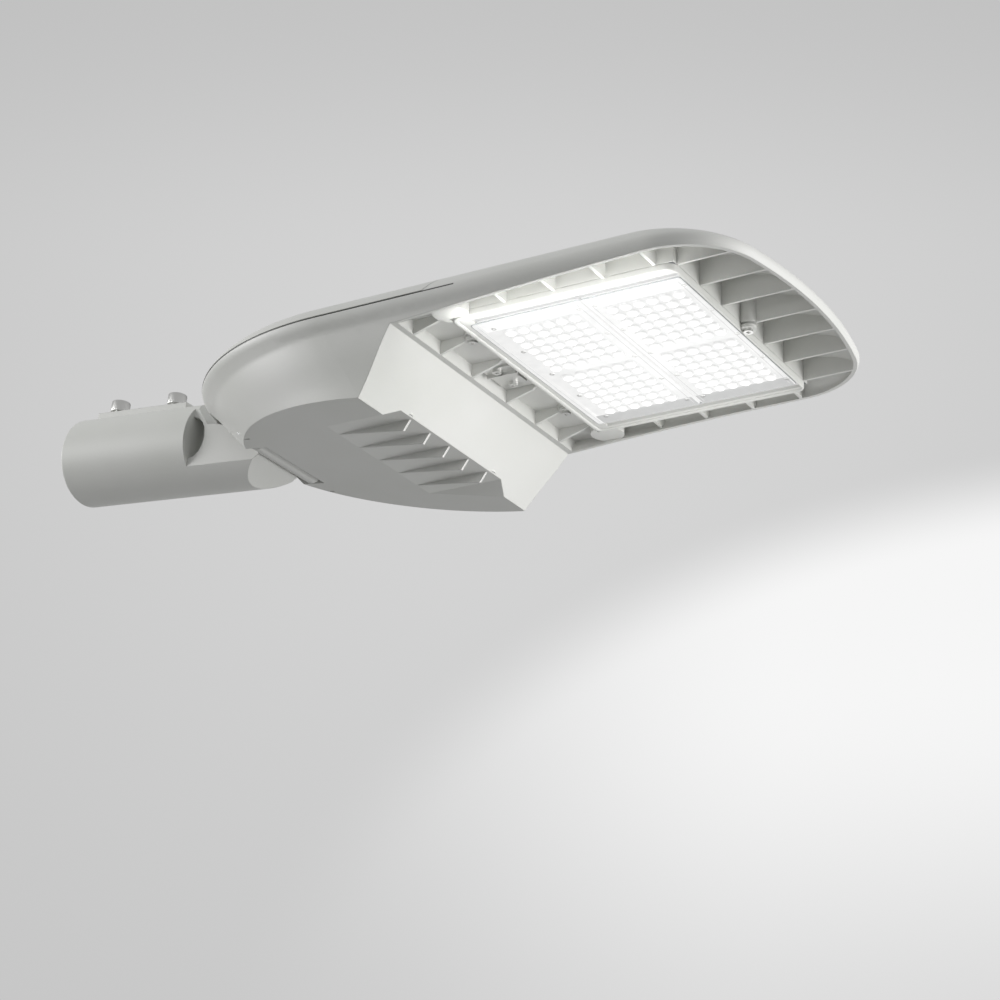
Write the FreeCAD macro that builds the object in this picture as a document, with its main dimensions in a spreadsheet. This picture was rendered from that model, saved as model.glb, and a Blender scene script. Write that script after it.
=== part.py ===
import FreeCAD, Part
import math
import operator
import os
import Sketcher
from FreeCAD import Placement, Rotation, Vector

# LED street light head for a 60 mm mast arm, seen as a bench assembly.
# Row frame: origin on the mast's axis at the mouth of the pole socket, +X towards the lit tip,
# +Z up. The head hangs level, and the adaptor's socket climbs towards the pole by arm_pitch.
# Head frame: X from the tilt axis towards the tip, Z from the underside below that axis.
# Arm frame: X from the mouth along the socket, Z up across it, turned by arm_pitch in the row frame.

doc = FreeCAD.newDocument("street_light_head")
sheet = doc.addObject("Spreadsheet::Sheet", "Sizes")

SIZES = {
    "pole adaptor": {
        "pole_bore_radius": 31.0, "socket_wall": 7.0, "socket_depth": 118.0, "tube_length": 132.0,
        "mouth_round": 1.5, "arm_pitch": 5.0, "pivot_reach": 212.5, "pivot_drop": 14.5, "neck_end": 205.0,
        "barrel_radius": 9.0, "barrel_length": 82.2, "barrel_chamfer": 1.5,
        "neck_width": 56.0, "neck_top": 9.4, "neck_top_start": 160.0, "web_width": 28.0,
        "pocket_reach": 14.0, "pocket_height": 18.5, "roof_foot": 147.0, "roof_foot_height": 11.0,
        "bevel_start": 183.0, "bevel_rise": 16.0,
        "cable_hole_radius": 7.0, "cable_hole_height": 21.0,
        "pad_width": 22.0, "pad_height": 4.0, "pad_start": 11.0, "pad_length": 96.0,
        "clamp_screw_first": 25.0, "clamp_screw_pitch": 62.0, "clamp_screw_radius": 5.0,
        "clamp_head_radius": 8.0, "clamp_head_height": 10.0, "clamp_head_gap": 3.0, "screw_fit": 0.1,
    },
    "tilt joint": {
        "pivot_height": 8.0, "pin_radius": 5.0, "pin_running_clearance": 0.06, "barrel_end_gap": 0.5,
        "ear_outer": 60.3, "pin_length": 126.0, "keeper_thickness": 1.2, "keeper_slot": 1.8,
        "keeper_start": 2.5, "keeper_width": 4.6, "keeper_low": 0.6,
        "lock_screw_radius": 3.0, "lock_screw_length": 11.0, "lock_screw_gap": 0.3,
        "lock_screw_spread": 40.0,
    },
    "head shell": {
        "seam_height": 45.0, "shell_wall": 3.5, "skin_wall": 3.5, "rim_wall": 3.0,
        "seam_ledge": 10.0, "cover_front": 220.0, "cover_gap": 0.5, "crown_height": 71.5,
        "cover_front_wall": 9.0, "gasket_inset": 4.0, "gasket_width": 3.0, "gasket_groove": 2.0,
        "gasket_lip": 0.2, "hinge_rise": 3.8, "hinge_radius": 3.5, "hinge_pin_radius": 2.0,
        "hinge_spread": 150.0, "knuckle_length": 8.0, "knuckle_gap": 0.3,
        "cover_screw_radius": 2.5, "cover_screw_spread": 104.0, "cover_screw_x": -22.0,
        "cover_screw_grip": 5.0, "cover_screw_clearance": 0.7, "cover_head_radius": 4.5,
        "cover_head_height": 3.0, "cover_boss_radius": 8.0,
    },
    "driver compartment": {
        "ridge_x": 155.3, "ridge_depth": 22.1, "step_top_x": 188.8, "step_top_height": 27.7,
        "keel_slope": 0.139, "floor_wall": 4.0, "notch_rear_x": 92.6, "notch_half_width": 76.2,
        "notch_flare": 1.8, "notch_fin_pitch": 28.95, "notch_fin_thickness": 2.4, "recess_top": 41.0,
        "ear_front": 16.0, "ear_top": 20.0,
    },
    "inner parts": {
        "tray_start": 26.0, "tray_length": 138.0, "tray_width": 140.0, "tray_thickness": 2.0,
        "tray_lip": 8.0, "tray_seat": 4.0, "tray_screw_spread": 126.0, "tray_screw_margin": 6.0,
        "tray_boss_radius": 5.0, "small_screw_radius": 2.0, "small_head_radius": 3.8,
        "small_head_height": 2.4, "small_screw_bite": 4.0,
        "driver_start": 50.0, "driver_length": 92.0, "driver_width": 58.0, "driver_height": 33.0,
        "driver_flange": 10.0, "driver_flange_height": 3.0, "driver_side": 2.0,
        "terminal_start": 36.0, "terminal_depth": 20.0, "terminal_height": 22.0, "terminal_width": 50.0,
        "terminal_side": -59.0, "terminal_pole_pitch": 10.0,
        "isolator_start": 66.0, "isolator_length": 30.0, "isolator_width": 34.0, "isolator_height": 26.0,
        "surge_start": 106.0, "surge_length": 44.0, "surge_width": 34.0, "surge_height": 25.0,
        "row_side": -59.0,
        "gland_x": -14.0, "gland_y": 36.0, "gland_radius": 5.2, "gland_thread_radius": 4.5,
        "gland_boss_radius": 7.5, "gland_boss_low": 24.0, "gland_boss_high": 36.8, "gland_nose": 7.0,
        "gland_nut_radius": 7.5, "gland_nut_height": 4.0, "cable_radius": 3.4,
        "saddle_length": 12.0, "saddle_width": 19.6, "saddle_height": 7.0,
    },
    "optic": {
        "box_rear_x": 228.0, "box_front_x": 415.1, "box_half_width": 117.0, "led_plane": 31.0,
        "frame_thickness": 5.0, "frame_corner": 8.0, "box_wall": 5.0, "board_seat": 40.0,
        "board_plate": 5.0, "lug_thickness": 2.5,
        "trough_rear_x": 194.0, "trough_ceiling": 39.0, "lip_height": 34.0,
        "rib_pitch": 36.8, "rib_thickness": 2.2, "gusset_pitch": 41.3, "gusset_first": 276.0,
        "gusset_thickness": 2.5, "sink_slot_pitch": 13.5, "sink_slot_width": 9.5, "sink_slot_start": 258.0,
        "screw_row_pitch": 44.8, "screw_column_rear": 22.5, "screw_column_span": 72.9, "plate_gap": 13.6,
        "lens_pitch_x": 11.0, "lens_pitch_y": 11.6, "lens_radius": 5.2, "lens_top_radius": 3.4,
        "lens_height": 3.0, "platform_drop": 0.2, "platform_height": 1.8, "flange_thickness": 2.5,
        "platform_half_width": 100.0, "board_thickness": 1.6, "chip_size": 3.5, "chip_height": 0.7,
        "frame_rear_border": 13.5, "frame_side_border": 8.0, "frame_front_border": 1.6, "frame_play": 0.4,
        "lens_screw_radius": 1.5, "lens_screw_length": 12.0, "lens_head_radius": 2.2,
        "lens_head_height": 0.8,
        "frame_lug_radius": 6.0, "frame_screw_radius": 2.5, "frame_screw_length": 12.0,
        "bracket_length": 26.0, "bracket_width": 34.0, "bracket_plate": 2.0, "bracket_x": 196.5,
        "bracket_lip": 3.0, "bracket_slot_y": -6.0,
    },
}


def fill_sheet():
    """One row to a size: its name, and its value with the name as alias."""
    row = 1
    for group, entries in SIZES.items():
        sheet.set(f"A{row}", group)
        row += 1
        for name, value in entries.items():
            sheet.set(f"A{row}", name)
            sheet.set(f"B{row}", str(value))
            sheet.setAlias(f"B{row}", name)
            row += 1
    doc.recompute()


fill_sheet()


def size(name):
    return float(sheet.get(name))


OPERATIONS = {"+": operator.add, "-": operator.sub, "*": operator.mul}


class Rule:
    """A size worked out from the sheet: its text for the document and its value here."""

    def __init__(self, text, value):
        self.text = text
        self.value = value

    def mix(self, other, sign, swapped=False):
        left, right = (rule(other), self) if swapped else (self, rule(other))
        return Rule(f"({left.text} {sign} {right.text})", OPERATIONS[sign](left.value, right.value))

    def __add__(self, other):
        return self.mix(other, "+")

    def __radd__(self, other):
        return self.mix(other, "+", True)

    def __sub__(self, other):
        return self.mix(other, "-")

    def __rsub__(self, other):
        return self.mix(other, "-", True)

    def __mul__(self, other):
        return self.mix(other, "*")

    def __rmul__(self, other):
        return self.mix(other, "*", True)

    def __neg__(self):
        return self.mix(-1.0, "*")


def rule(value):
    return value if isinstance(value, Rule) else Rule(repr(float(value)), float(value))


def cell(name):
    return Rule(f"Sizes.{name}", size(name))


# Places of the two groups in the row frame
PITCH = math.radians(size("arm_pitch"))
PIVOT_X = size("pivot_reach") * math.cos(PITCH) - size("pivot_drop") * math.sin(PITCH)
PIVOT_Z = -size("pivot_reach") * math.sin(PITCH) - size("pivot_drop") * math.cos(PITCH)
HEAD_PLACE = Placement(Vector(PIVOT_X, 0, PIVOT_Z - size("pivot_height")), Rotation())
ARM_PLACE = Placement(Vector(0, 0, 0), Rotation(Vector(0, 1, 0), size("arm_pitch")))
PITCH_TEXT = "(Sizes.arm_pitch * 1 deg)"
HEAD_X_TEXT = f"Sizes.pivot_reach * cos{PITCH_TEXT} - Sizes.pivot_drop * sin{PITCH_TEXT}"
HEAD_Z_TEXT = (f"-Sizes.pivot_reach * sin{PITCH_TEXT} - Sizes.pivot_drop * cos{PITCH_TEXT}"
               " - Sizes.pivot_height")
nodes = []


def keep(obj, name, group="head"):
    """Name a finished sub-part and set it in the row frame."""
    obj.Label = name
    if group == "arm":
        obj.Placement = ARM_PLACE
        obj.setExpression("Placement.Rotation.Angle", "Sizes.arm_pitch * 1 deg")
    else:
        obj.Placement = HEAD_PLACE
        obj.setExpression("Placement.Base.x", HEAD_X_TEXT)
        obj.setExpression("Placement.Base.z", HEAD_Z_TEXT)
    nodes.append(obj)
    return obj


def feature(name, shape, group="head"):
    obj = doc.addObject("Part::Feature", name)
    obj.Shape = shape
    return keep(obj, name, group)


# Sketched bodies. An outline is ("circle", x, y, radius) or ("corners", [(x, y), ...]), and each of
# its numbers is bound to the sheet. Every step runs from low to high along X, Y or Z.
NORMALS = {"X": "YZ_Plane", "Y": "XZ_Plane", "Z": "XY_Plane"}


def sketch(body, name, along, outlines, offset):
    drawing = body.newObject("Sketcher::SketchObject", name)
    plane = next(f for f in body.Origin.OriginFeatures if f.Role == NORMALS[along])
    drawing.AttachmentSupport = (plane, [""])
    drawing.MapMode = "FlatFace"
    offset = rule(offset)
    drawing.AttachmentOffset = Placement(Vector(0, 0, offset.value), Rotation())
    drawing.setExpression("AttachmentOffset.Base.z", offset.text)

    def bind(kind, *parts):
        amount = rule(parts[-1])
        number = drawing.addConstraint(Sketcher.Constraint(kind, *parts[:-1], amount.value))
        drawing.setExpression(f"Constraints[{number}]", amount.text)

    def bind_point(edge, point, x, y):
        bind("DistanceX", -1, 1, edge, point, x)
        bind("DistanceY", -1, 1, edge, point, y)

    for kind, *data in outlines:
        if kind == "circle":
            x, y, radius = [rule(number) for number in data]
            circle = Part.Circle(Vector(x.value, y.value, 0), Vector(0, 0, 1), radius.value)
            edge = drawing.addGeometry(circle)
            bind_point(edge, 3, x, y)
            bind("Radius", edge, radius)
        else:
            corners = [(rule(x), rule(y)) for x, y in data[0]]
            points = [Vector(x.value, y.value, 0) for x, y in corners]
            lines = [Part.LineSegment(a, b) for a, b in zip(points, points[1:] + points[:1])]
            edges = [drawing.addGeometry(line) for line in lines]
            for edge, following in zip(edges, edges[1:] + edges[:1]):
                drawing.addConstraint(Sketcher.Constraint("Coincident", edge, 2, following, 1))
            for edge, (x, y) in zip(edges, corners):
                bind_point(edge, 1, x, y)
    return drawing


def box_outline(x0, x1, y0, y1):
    return ("corners", [(x0, y0), (x1, y0), (x1, y1), (x0, y1)])


def step(body, kind, name, along, outlines, low, high):
    """A Pad or Pocket between two places along an axis; it has to change the volume."""
    low, high = rule(low), rule(high)
    before = body.Shape.Volume if body.Tip else 0.0
    drawing = sketch(body, name + "_outline", along, outlines, -high if along == "Y" else low)
    result = body.newObject("PartDesign::" + kind, name)
    result.Profile = drawing
    result.setExpression("Length", (high - low).text)
    result.Reversed = kind == "Pocket"
    drawing.Visibility = False
    doc.recompute()
    if abs(body.Shape.Volume - before) < 1e-3:
        raise RuntimeError(f"{name} changes nothing")
    return result


def dress(body, kind, name, amount, choose):
    """A Fillet or Chamfer on the edges of the tip that choose() picks."""
    base = body.Tip
    picked = [f"Edge{i + 1}" for i, edge in enumerate(base.Shape.Edges) if choose(edge)]
    result = body.newObject("PartDesign::" + kind, name)
    result.Base = (base, picked)
    result.setExpression("Radius" if kind == "Fillet" else "Size", rule(amount).text)
    doc.recompute()
    return result


def upright(edge):
    """True for a straight edge along Z."""
    if len(edge.Vertexes) != 2:
        return False
    a, b = [vertex.Point for vertex in edge.Vertexes]
    return abs(a.x - b.x) + abs(a.y - b.y) < 1e-6


def new_body(name):
    return doc.addObject("PartDesign::Body", name)


# Plain parametric solids and groups of them
AXES = {"X": Rotation(Vector(0, 1, 0), 90), "Y": Rotation(Vector(1, 0, 0), -90), "Z": Rotation()}


def set_down(obj, x, y, z, turn):
    x, y, z = rule(x), rule(y), rule(z)
    obj.Placement = Placement(Vector(x.value, y.value, z.value), turn)
    for letter, amount in zip("xyz", (x, y, z)):
        obj.setExpression(f"Placement.Base.{letter}", amount.text)


def cylinder(name, radius, length, x, y, z, along="Z"):
    obj = doc.addObject("Part::Cylinder", name)
    obj.setExpression("Radius", rule(radius).text)
    obj.setExpression("Height", rule(length).text)
    set_down(obj, x, y, z, AXES[along])
    return obj


def hexagon(name, radius, length, x, y, z, along="Z"):
    obj = doc.addObject("Part::Prism", name)
    obj.Polygon = 6
    obj.setExpression("Circumradius", rule(radius).text)
    obj.setExpression("Height", rule(length).text)
    set_down(obj, x, y, z, AXES[along])
    return obj


def fuse(name, base, tool):
    obj = doc.addObject("Part::Fuse", name)
    obj.Base, obj.Tool = base, tool
    return obj


def cut(name, base, tool):
    obj = doc.addObject("Part::Cut", name)
    obj.Base, obj.Tool = base, tool
    return obj


def group_of(name, members, group="head"):
    """Identical pieces as separate solids of one sub-part."""
    obj = doc.addObject("Part::Compound", name)
    obj.Links = members
    doc.recompute()
    return keep(obj, name, group)


def screw(name, x, y, seat, head, shank, head_below=True, along="Z", socket=0.0):
    """Head and shank that meet at the seat. The head is below it, or above it if told so."""
    (head_radius, head_height), (shank_radius, length) = head, shank
    head_start = seat - head_height if head_below else seat
    shank_start = seat if head_below else seat - length
    whole = fuse(name, cylinder(name + "_head", head_radius, head_height, x, y, head_start, along),
                 cylinder(name + "_shank", shank_radius, length, x, y, shank_start, along))
    if not socket:
        return whole
    depth = rule(head_height) * 0.5
    start = head_start if head_below else head_start + head_height - depth
    key = hexagon(name + "_socket", rule(head_radius) * socket, depth, x, y, start)
    return cut(name + "_driven", whole, key)


# Plain solids in a node's own frame
def block(x0, x1, y0, y1, z0, z1):
    return Part.makeBox(x1 - x0, y1 - y0, z1 - z0, Vector(x0, y0, z0))


def rod(radius, length, base, direction):
    return Part.makeCylinder(radius, length, Vector(*base), Vector(*direction))


def upright_rod(radius, x, y, low, high):
    return rod(radius, high - low, (x, y, low), (0, 0, 1))


def side_profile(points, y0, y1):
    """A solid with an outline in the XZ plane, from y0 to y1."""
    wire = Part.makePolygon([Vector(x, y0, z) for x, z in points + points[:1]])
    return Part.Face(wire).extrude(Vector(0, y1 - y0, 0))


FAR_AFT, FAR_FORE, FAR_BELOW, FAR_ABOVE = -200.0, 600.0, -100.0, 120.0
REACH = 200.0


def slab(low, high):
    """Everything in the head between two heights."""
    return block(FAR_AFT, FAR_FORE, -REACH, REACH, low, high)


# The head's outer skin: flat outlines stacked from the keel to the crown.
# Each row: height, half width, nose x, centre of the stern's ellipse, stern x.
SEAM = size("seam_height")
CROWN = size("crown_height")
SKIN_ROWS = [
    (-25.0, 126.0, 440.0, 156.0, 5.0),
    (2.0, 132.0, 455.0, 143.5, -20.0),
    (28.0, 138.5, 470.0, 131.0, -45.0),
    (34.0, 140.5, 474.5, 128.5, -51.0),
    (38.5, 143.5, 477.5, 126.0, -56.0),
    (SEAM, 144.5, 477.5, 123.0, -61.0),
    (49.0, 142.5, 473.0, 120.0, -58.0),
    (54.0, 138.5, 464.0, 118.0, -48.0),
    (59.0, 129.0, 448.0, 115.0, -31.0),
    (63.5, 115.0, 424.0, 112.0, -9.0),
    (68.0, 88.0, 385.0, 108.0, 28.0),
    (CROWN, 50.0, 330.0, 104.0, 74.0),
]
CORNER_SHARE = 0.45
NOSE_SHARE = 3.1
LOFT_DEGREE = 2
ROOF_START, ROOF_BLEND = 38.5, 15.5


def plan_wire(height, half_width, nose, stern_centre, stern):
    """Nose arc, two corner arcs, straight sides and a half-ellipse stern."""
    corner = CORNER_SHARE * half_width
    nose_radius = NOSE_SHARE * half_width
    centre_y = half_width - corner
    nose_centre = nose - nose_radius
    reach = nose_radius - corner
    centre_x = nose_centre + math.sqrt(reach ** 2 - centre_y ** 2)
    touch = Vector(nose_centre + nose_radius * (centre_x - nose_centre) / reach,
                   nose_radius * centre_y / reach, height)
    diagonal = math.atan2(centre_y, centre_x - nose_centre)
    bend = (diagonal + math.pi / 2) / 2
    middle = Vector(centre_x + corner * math.cos(bend), centre_y + corner * math.sin(bend), height)
    side = Vector(centre_x, half_width, height)
    shoulder = Vector(stern_centre, half_width, height)

    def port(p):
        return Vector(p.x, -p.y, p.z)

    major = Vector(stern, 0, height)
    centre = Vector(stern_centre, 0, height)
    wide_stern = half_width > stern_centre - stern
    ellipse = Part.Ellipse(shoulder, major, centre) if wide_stern else Part.Ellipse(major, shoulder, centre)

    def stern_arc(first, last):
        start, end = ellipse.parameter(first), ellipse.parameter(last)
        if (end - start) % (2 * math.pi) > math.pi:
            start, end = end, start
        return Part.Arc(ellipse, start, start + (end - start) % (2 * math.pi)).toShape()

    edges = [
        Part.Arc(port(touch), Vector(nose, 0, height), touch).toShape(),
        Part.Arc(touch, middle, side).toShape(),
        Part.LineSegment(side, shoulder).toShape(),
        stern_arc(shoulder, major),
        stern_arc(major, port(shoulder)),
        Part.LineSegment(port(shoulder), port(side)).toShape(),
        Part.Arc(port(side), port(middle), port(touch)).toShape(),
    ]
    return Part.Wire(Part.__sortEdges__(edges))


def skin_loft(side_wall=0.0, top_wall=0.0):
    """The skin, or an inner skin a wall thickness inside it."""
    wires = []
    for height, half_width, nose, stern_centre, stern in SKIN_ROWS:
        drop = top_wall * min(1.0, max(0.0, (height - ROOF_START) / ROOF_BLEND))
        wires.append(plan_wire(height - drop, half_width - side_wall, nose - side_wall, stern_centre,
                               stern + side_wall))
    return Part.makeLoft(wires, True, False, False, LOFT_DEGREE)


# Profiles of the lower housing in the XZ plane
RIDGE = (size("ridge_x"), -size("ridge_depth"))
STEP_TOP = (size("step_top_x"), size("step_top_height"))
STEP_LEAN = (STEP_TOP[0] - RIDGE[0]) / (STEP_TOP[1] - RIDGE[1])
TROUGH_REAR = size("trough_rear_x")
LIP = size("lip_height")
LIP_MIDDLE_X, LIP_BOW, LIP_RISE = 290.0, 1.4, 2.0


def keel_height(x, lift=0.0):
    """Height of the sloping underside at x, or of a plane a wall above it."""
    return RIDGE[1] + size("keel_slope") * (RIDGE[0] - x) + lift * math.hypot(1.0, size("keel_slope"))


def below_the_head():
    """The air under the head: sloping underside, ridge, step face and the rim's long curved lip."""
    lip_start = Vector(TROUGH_REAR, 0, STEP_TOP[1])
    lip_middle = Vector(LIP_MIDDLE_X, 0, LIP - LIP_BOW)
    lip_end = Vector(FAR_FORE, 0, LIP + LIP_RISE)
    lip = Part.Arc(lip_start, lip_middle, lip_end).toShape()
    corners = [(FAR_FORE, FAR_BELOW), (FAR_AFT, FAR_BELOW), (FAR_AFT, keel_height(FAR_AFT)), RIDGE,
               STEP_TOP, (TROUGH_REAR, STEP_TOP[1])]
    points = [lip_end] + [Vector(x, 0, z) for x, z in corners]
    edges = [lip] + [Part.LineSegment(a, b).toShape() for a, b in zip(points, points[1:])]
    face = Part.Face(Part.Wire(Part.__sortEdges__(edges)))
    return face.extrude(Vector(0, 2 * REACH, 0)).translated(Vector(0, -REACH, 0))


COVER_LEAN = 0.9
COVER_FRONT = size("cover_front")


def cover_zone(gap=0.0):
    """Everything above the seam and behind the slanted front edge of the top cover."""
    low = SEAM + gap
    front = COVER_FRONT - gap * math.hypot(1.0, COVER_LEAN)
    outline = [(FAR_AFT, low), (front + COVER_LEAN * gap, low),
               (front + COVER_LEAN * (FAR_ABOVE - SEAM), FAR_ABOVE), (FAR_AFT, FAR_ABOVE)]
    return side_profile(outline, -REACH, REACH)


NOTCH_REAR = size("notch_rear_x")
NOTCH_ROOF = keel_height(NOTCH_REAR)
NOTCH_DROP = 30.0


def notch():
    """The wedge cut off the ridge: level roof, side walls flared outwards."""
    half = size("notch_half_width")
    flare = size("notch_flare") * NOTCH_DROP
    wire = Part.makePolygon([Vector(NOTCH_REAR - 40.0, y, z) for y, z in (
        (-half, NOTCH_ROOF), (half, NOTCH_ROOF), (half + flare, NOTCH_ROOF - NOTCH_DROP),
        (-half - flare, NOTCH_ROOF - NOTCH_DROP), (-half, NOTCH_ROOF))])
    return Part.Face(wire).extrude(Vector(STEP_TOP[0] - NOTCH_REAR + 80.0, 0, 0))


def notch_fins():
    """Five thin fins, their lower edges in the underside and their fronts along the step face."""
    setback, root = 2.6, 1.0
    half = size("notch_fin_thickness") / 2
    pitch = size("notch_fin_pitch")
    front_low = keel_height(RIDGE[0] - setback)
    front_high = RIDGE[0] + STEP_LEAN * (NOTCH_ROOF - RIDGE[1]) - setback
    outline = [(NOTCH_REAR - root, NOTCH_ROOF + root), (NOTCH_REAR, NOTCH_ROOF),
               (RIDGE[0] - setback, front_low), (front_high, NOTCH_ROOF), (front_high, NOTCH_ROOF + root)]
    return [side_profile(outline, place * pitch - half, place * pitch + half) for place in range(-2, 3)]


PIVOT_HEIGHT = size("pivot_height")
RECESS_HALF = size("barrel_length") / 2 + size("barrel_end_gap")
RECESS_FRONT = size("barrel_radius") + 1.2
RECESS_ROOF = PIVOT_HEIGHT + size("barrel_radius") + 2.5
RECESS_REAR = -46.0
EAR_OUTER = size("ear_outer")
EAR_WALL = 5.7
KEEPER_TOP = PIVOT_HEIGHT + size("pin_radius")
KEEPER_PLAY = 0.2


def neck_recess(wall=0.0):
    """Room at the stern for the adaptor's neck and barrel, open below and behind."""
    front = RECESS_FRONT + wall
    top = size("recess_top") + wall
    outline = [(FAR_AFT, FAR_BELOW), (front, FAR_BELOW), (front, RECESS_ROOF + wall), (RECESS_REAR, top),
               (FAR_AFT, top)]
    return side_profile(outline, -RECESS_HALF - wall, RECESS_HALF + wall)


def ears():
    """The two bearing blocks beside the recess, with room outside them for the pin's keepers."""
    rear = -(PIVOT_HEIGHT + size("pin_radius"))
    outer = EAR_OUTER + EAR_WALL
    return [block(rear, size("ear_front"), -outer, -RECESS_HALF, FAR_BELOW, size("ear_top")),
            block(rear, size("ear_front"), RECESS_HALF, outer, FAR_BELOW, size("ear_top"))]


def compartment_space():
    """Inside of the driver compartment below the seam, with its sealing ledge left standing."""
    wall = size("floor_wall")
    level = NOTCH_ROOF + wall
    lean_wall = wall * math.hypot(1.0, STEP_LEAN)
    floor_break = RIDGE[0] - (level - keel_height(RIDGE[0], wall)) / size("keel_slope")
    front_foot = RIDGE[0] + STEP_LEAN * (level - RIDGE[1]) - lean_wall
    knee_x = TROUGH_REAR - wall
    knee_z = STEP_TOP[1] - (STEP_TOP[0] - lean_wall - knee_x) / STEP_LEAN
    outline = [(FAR_AFT, keel_height(FAR_AFT, wall)), (floor_break, level), (front_foot, level),
               (knee_x, knee_z), (knee_x, FAR_ABOVE), (FAR_AFT, FAR_ABOVE)]
    room = side_profile(outline, -REACH, REACH)
    ledge_bottom = SEAM - 7.0
    lower = skin_loft(size("shell_wall")).common(slab(FAR_BELOW, ledge_bottom))
    upper = skin_loft(size("seam_ledge")).common(slab(ledge_bottom - 0.01, SEAM + 3.0))
    space = room.common(lower.fuse(upper))
    for solid in [neck_recess(wall)] + ears():
        space = space.cut(solid)
    return space


BOX_REAR, BOX_FRONT = size("box_rear_x"), size("box_front_x")
BOX_HALF = size("box_half_width")
LED_PLANE = size("led_plane")
FRAME_BACK = LED_PLANE + size("frame_thickness")
BOX_EDGE = FRAME_BACK + 0.3
BOARD_SEAT = size("board_seat")
TROUGH_GUSSETS = (26.9, 73.8, 113.3)
BOSS_RADIUS = 7.0
LUG_REACH, FRONT_REACH = 5.5, 4.0
LUG_X = BOX_REAR - LUG_REACH
LUG_SPREAD = 73.7
LUG_PLACES = [(LUG_X, LUG_SPREAD), (LUG_X, -LUG_SPREAD)]
FRONT_SCREW = (BOX_FRONT + FRONT_REACH, 0.0)
FRONT_LUG_RISE, FRONT_LUG_SEAT = 0.8, 0.6
FRONT_LUG_TOP = LIP + FRONT_LUG_SEAT
CORNER_LUG = (BOX_REAR + 5.0, BOX_HALF + 7.5)
CORNER_LUG_RADIUS = 14.0
CORNER_LUG_LOW = LED_PLANE + 0.5


def rim_space():
    """The open gutter round the optic box, under the skin, less its ribs, gussets and bosses."""
    inner = skin_loft(size("rim_wall"), size("skin_wall"))
    space = inner.common(block(TROUGH_REAR, FAR_FORE, -REACH, REACH, FAR_BELOW, FAR_ABOVE))
    ceiling = size("trough_ceiling")
    kept = [block(TROUGH_REAR - 1.0, BOX_REAR + 1.0, -REACH, REACH, ceiling, FAR_ABOVE),
            block(BOX_REAR, BOX_FRONT, -BOX_HALF, BOX_HALF, BOX_EDGE, FAR_ABOVE)]
    half_rib = size("rib_thickness") / 2
    for place in range(-3, 4):
        y = place * size("rib_pitch")
        kept.append(block(BOX_FRONT - 1.0, FAR_FORE, y - half_rib, y + half_rib, LIP + 0.9, FAR_ABOVE))
    half_gusset = size("gusset_thickness") / 2
    for place in range(4):
        x = size("gusset_first") + place * size("gusset_pitch")
        for y0, y1 in ((BOX_HALF - 1.0, REACH), (-REACH, 1.0 - BOX_HALF)):
            kept.append(block(x - half_gusset, x + half_gusset, y0, y1, LIP + 0.6, FAR_ABOVE))
    taper = [(TROUGH_REAR - 1.0, STEP_TOP[1]), (TROUGH_REAR, STEP_TOP[1]),
             (BOX_REAR - 10.0, LED_PLANE + 3.8), (BOX_REAR - 4.0, ceiling + 1.0),
             (TROUGH_REAR - 1.0, ceiling + 1.0)]
    for y in TROUGH_GUSSETS:
        for side in (1, -1):
            kept.append(side_profile(taper, side * y - half_gusset, side * y + half_gusset))
    kept.append(upright_rod(BOSS_RADIUS, *FRONT_SCREW, FRONT_LUG_TOP + 0.3, FAR_ABOVE))
    kept += [upright_rod(BOSS_RADIUS, x, y, BOX_EDGE, FAR_ABOVE) for x, y in LUG_PLACES]
    lug_x, lug_y = CORNER_LUG
    kept += [upright_rod(CORNER_LUG_RADIUS, lug_x, side * lug_y, CORNER_LUG_LOW, FAR_ABOVE)
             for side in (1, -1)]
    for solid in kept:
        space = space.cut(solid)
    return space


SPREADER_TOP = BOARD_SEAT + size("board_plate")


def heat_sink_slots():
    """Lengthwise slots over the optic box, open to the sky, that leave cooling fins between them."""
    end_margin, side_margin = 12.0, 16.0
    pitch = size("sink_slot_pitch")
    half = size("sink_slot_width") / 2
    count = int((BOX_HALF - side_margin) / pitch)
    start, end = size("sink_slot_start"), BOX_FRONT - end_margin
    middles = [place * pitch for place in range(-count, count + 1)]
    return [block(start, end, y - half, y + half, SPREADER_TOP, FAR_ABOVE) for y in middles]


def seal_face(inset, height):
    """Plan of the compartment's mouth at a distance inside the skin, closed across the front."""
    row = next(r for r in SKIN_ROWS if r[0] == SEAM)
    face = Part.Face(plan_wire(height, row[1] - inset, row[2] - inset, row[3], row[4] + inset))
    fore = COVER_FRONT - size("cover_gap") - inset
    limit = Part.makePolygon([Vector(x, y, height) for x, y in (
        (FAR_AFT, -REACH), (fore, -REACH), (fore, REACH), (FAR_AFT, REACH), (FAR_AFT, -REACH))])
    return face.common(Part.Face(limit))


def seal_ring(inset, width, low, high):
    ring = seal_face(inset, low).cut(seal_face(inset + width, low))
    return ring.extrude(Vector(0, 0, high - low))


# Hinge of the top cover, above the crown on the slanted parting plane
HINGE_X = COVER_FRONT + COVER_LEAN * (CROWN - SEAM)
HINGE_Z = CROWN + size("hinge_rise")
HINGE_RADIUS = size("hinge_radius")
KNUCKLE_ROOT = 5.5


def knuckle(y0, y1, toward):
    """A barrel round the hinge axis, on a lug that runs down into the skin on one side."""
    low = CROWN - KNUCKLE_ROOT
    foot = HINGE_X + toward * 1.4 + (COVER_LEAN * (low - CROWN) if toward < 0 else 0.0)
    lug = [(HINGE_X + toward * 15.0, low), (foot, low), (HINGE_X + toward * 0.7, CROWN),
           (HINGE_X, HINGE_Z - HINGE_RADIUS), (HINGE_X, HINGE_Z + HINGE_RADIUS)]
    return side_profile(lug, y0, y1).fuse(rod(HINGE_RADIUS, y1 - y0, (HINGE_X, y0, HINGE_Z), (0, 1, 0)))


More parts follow.
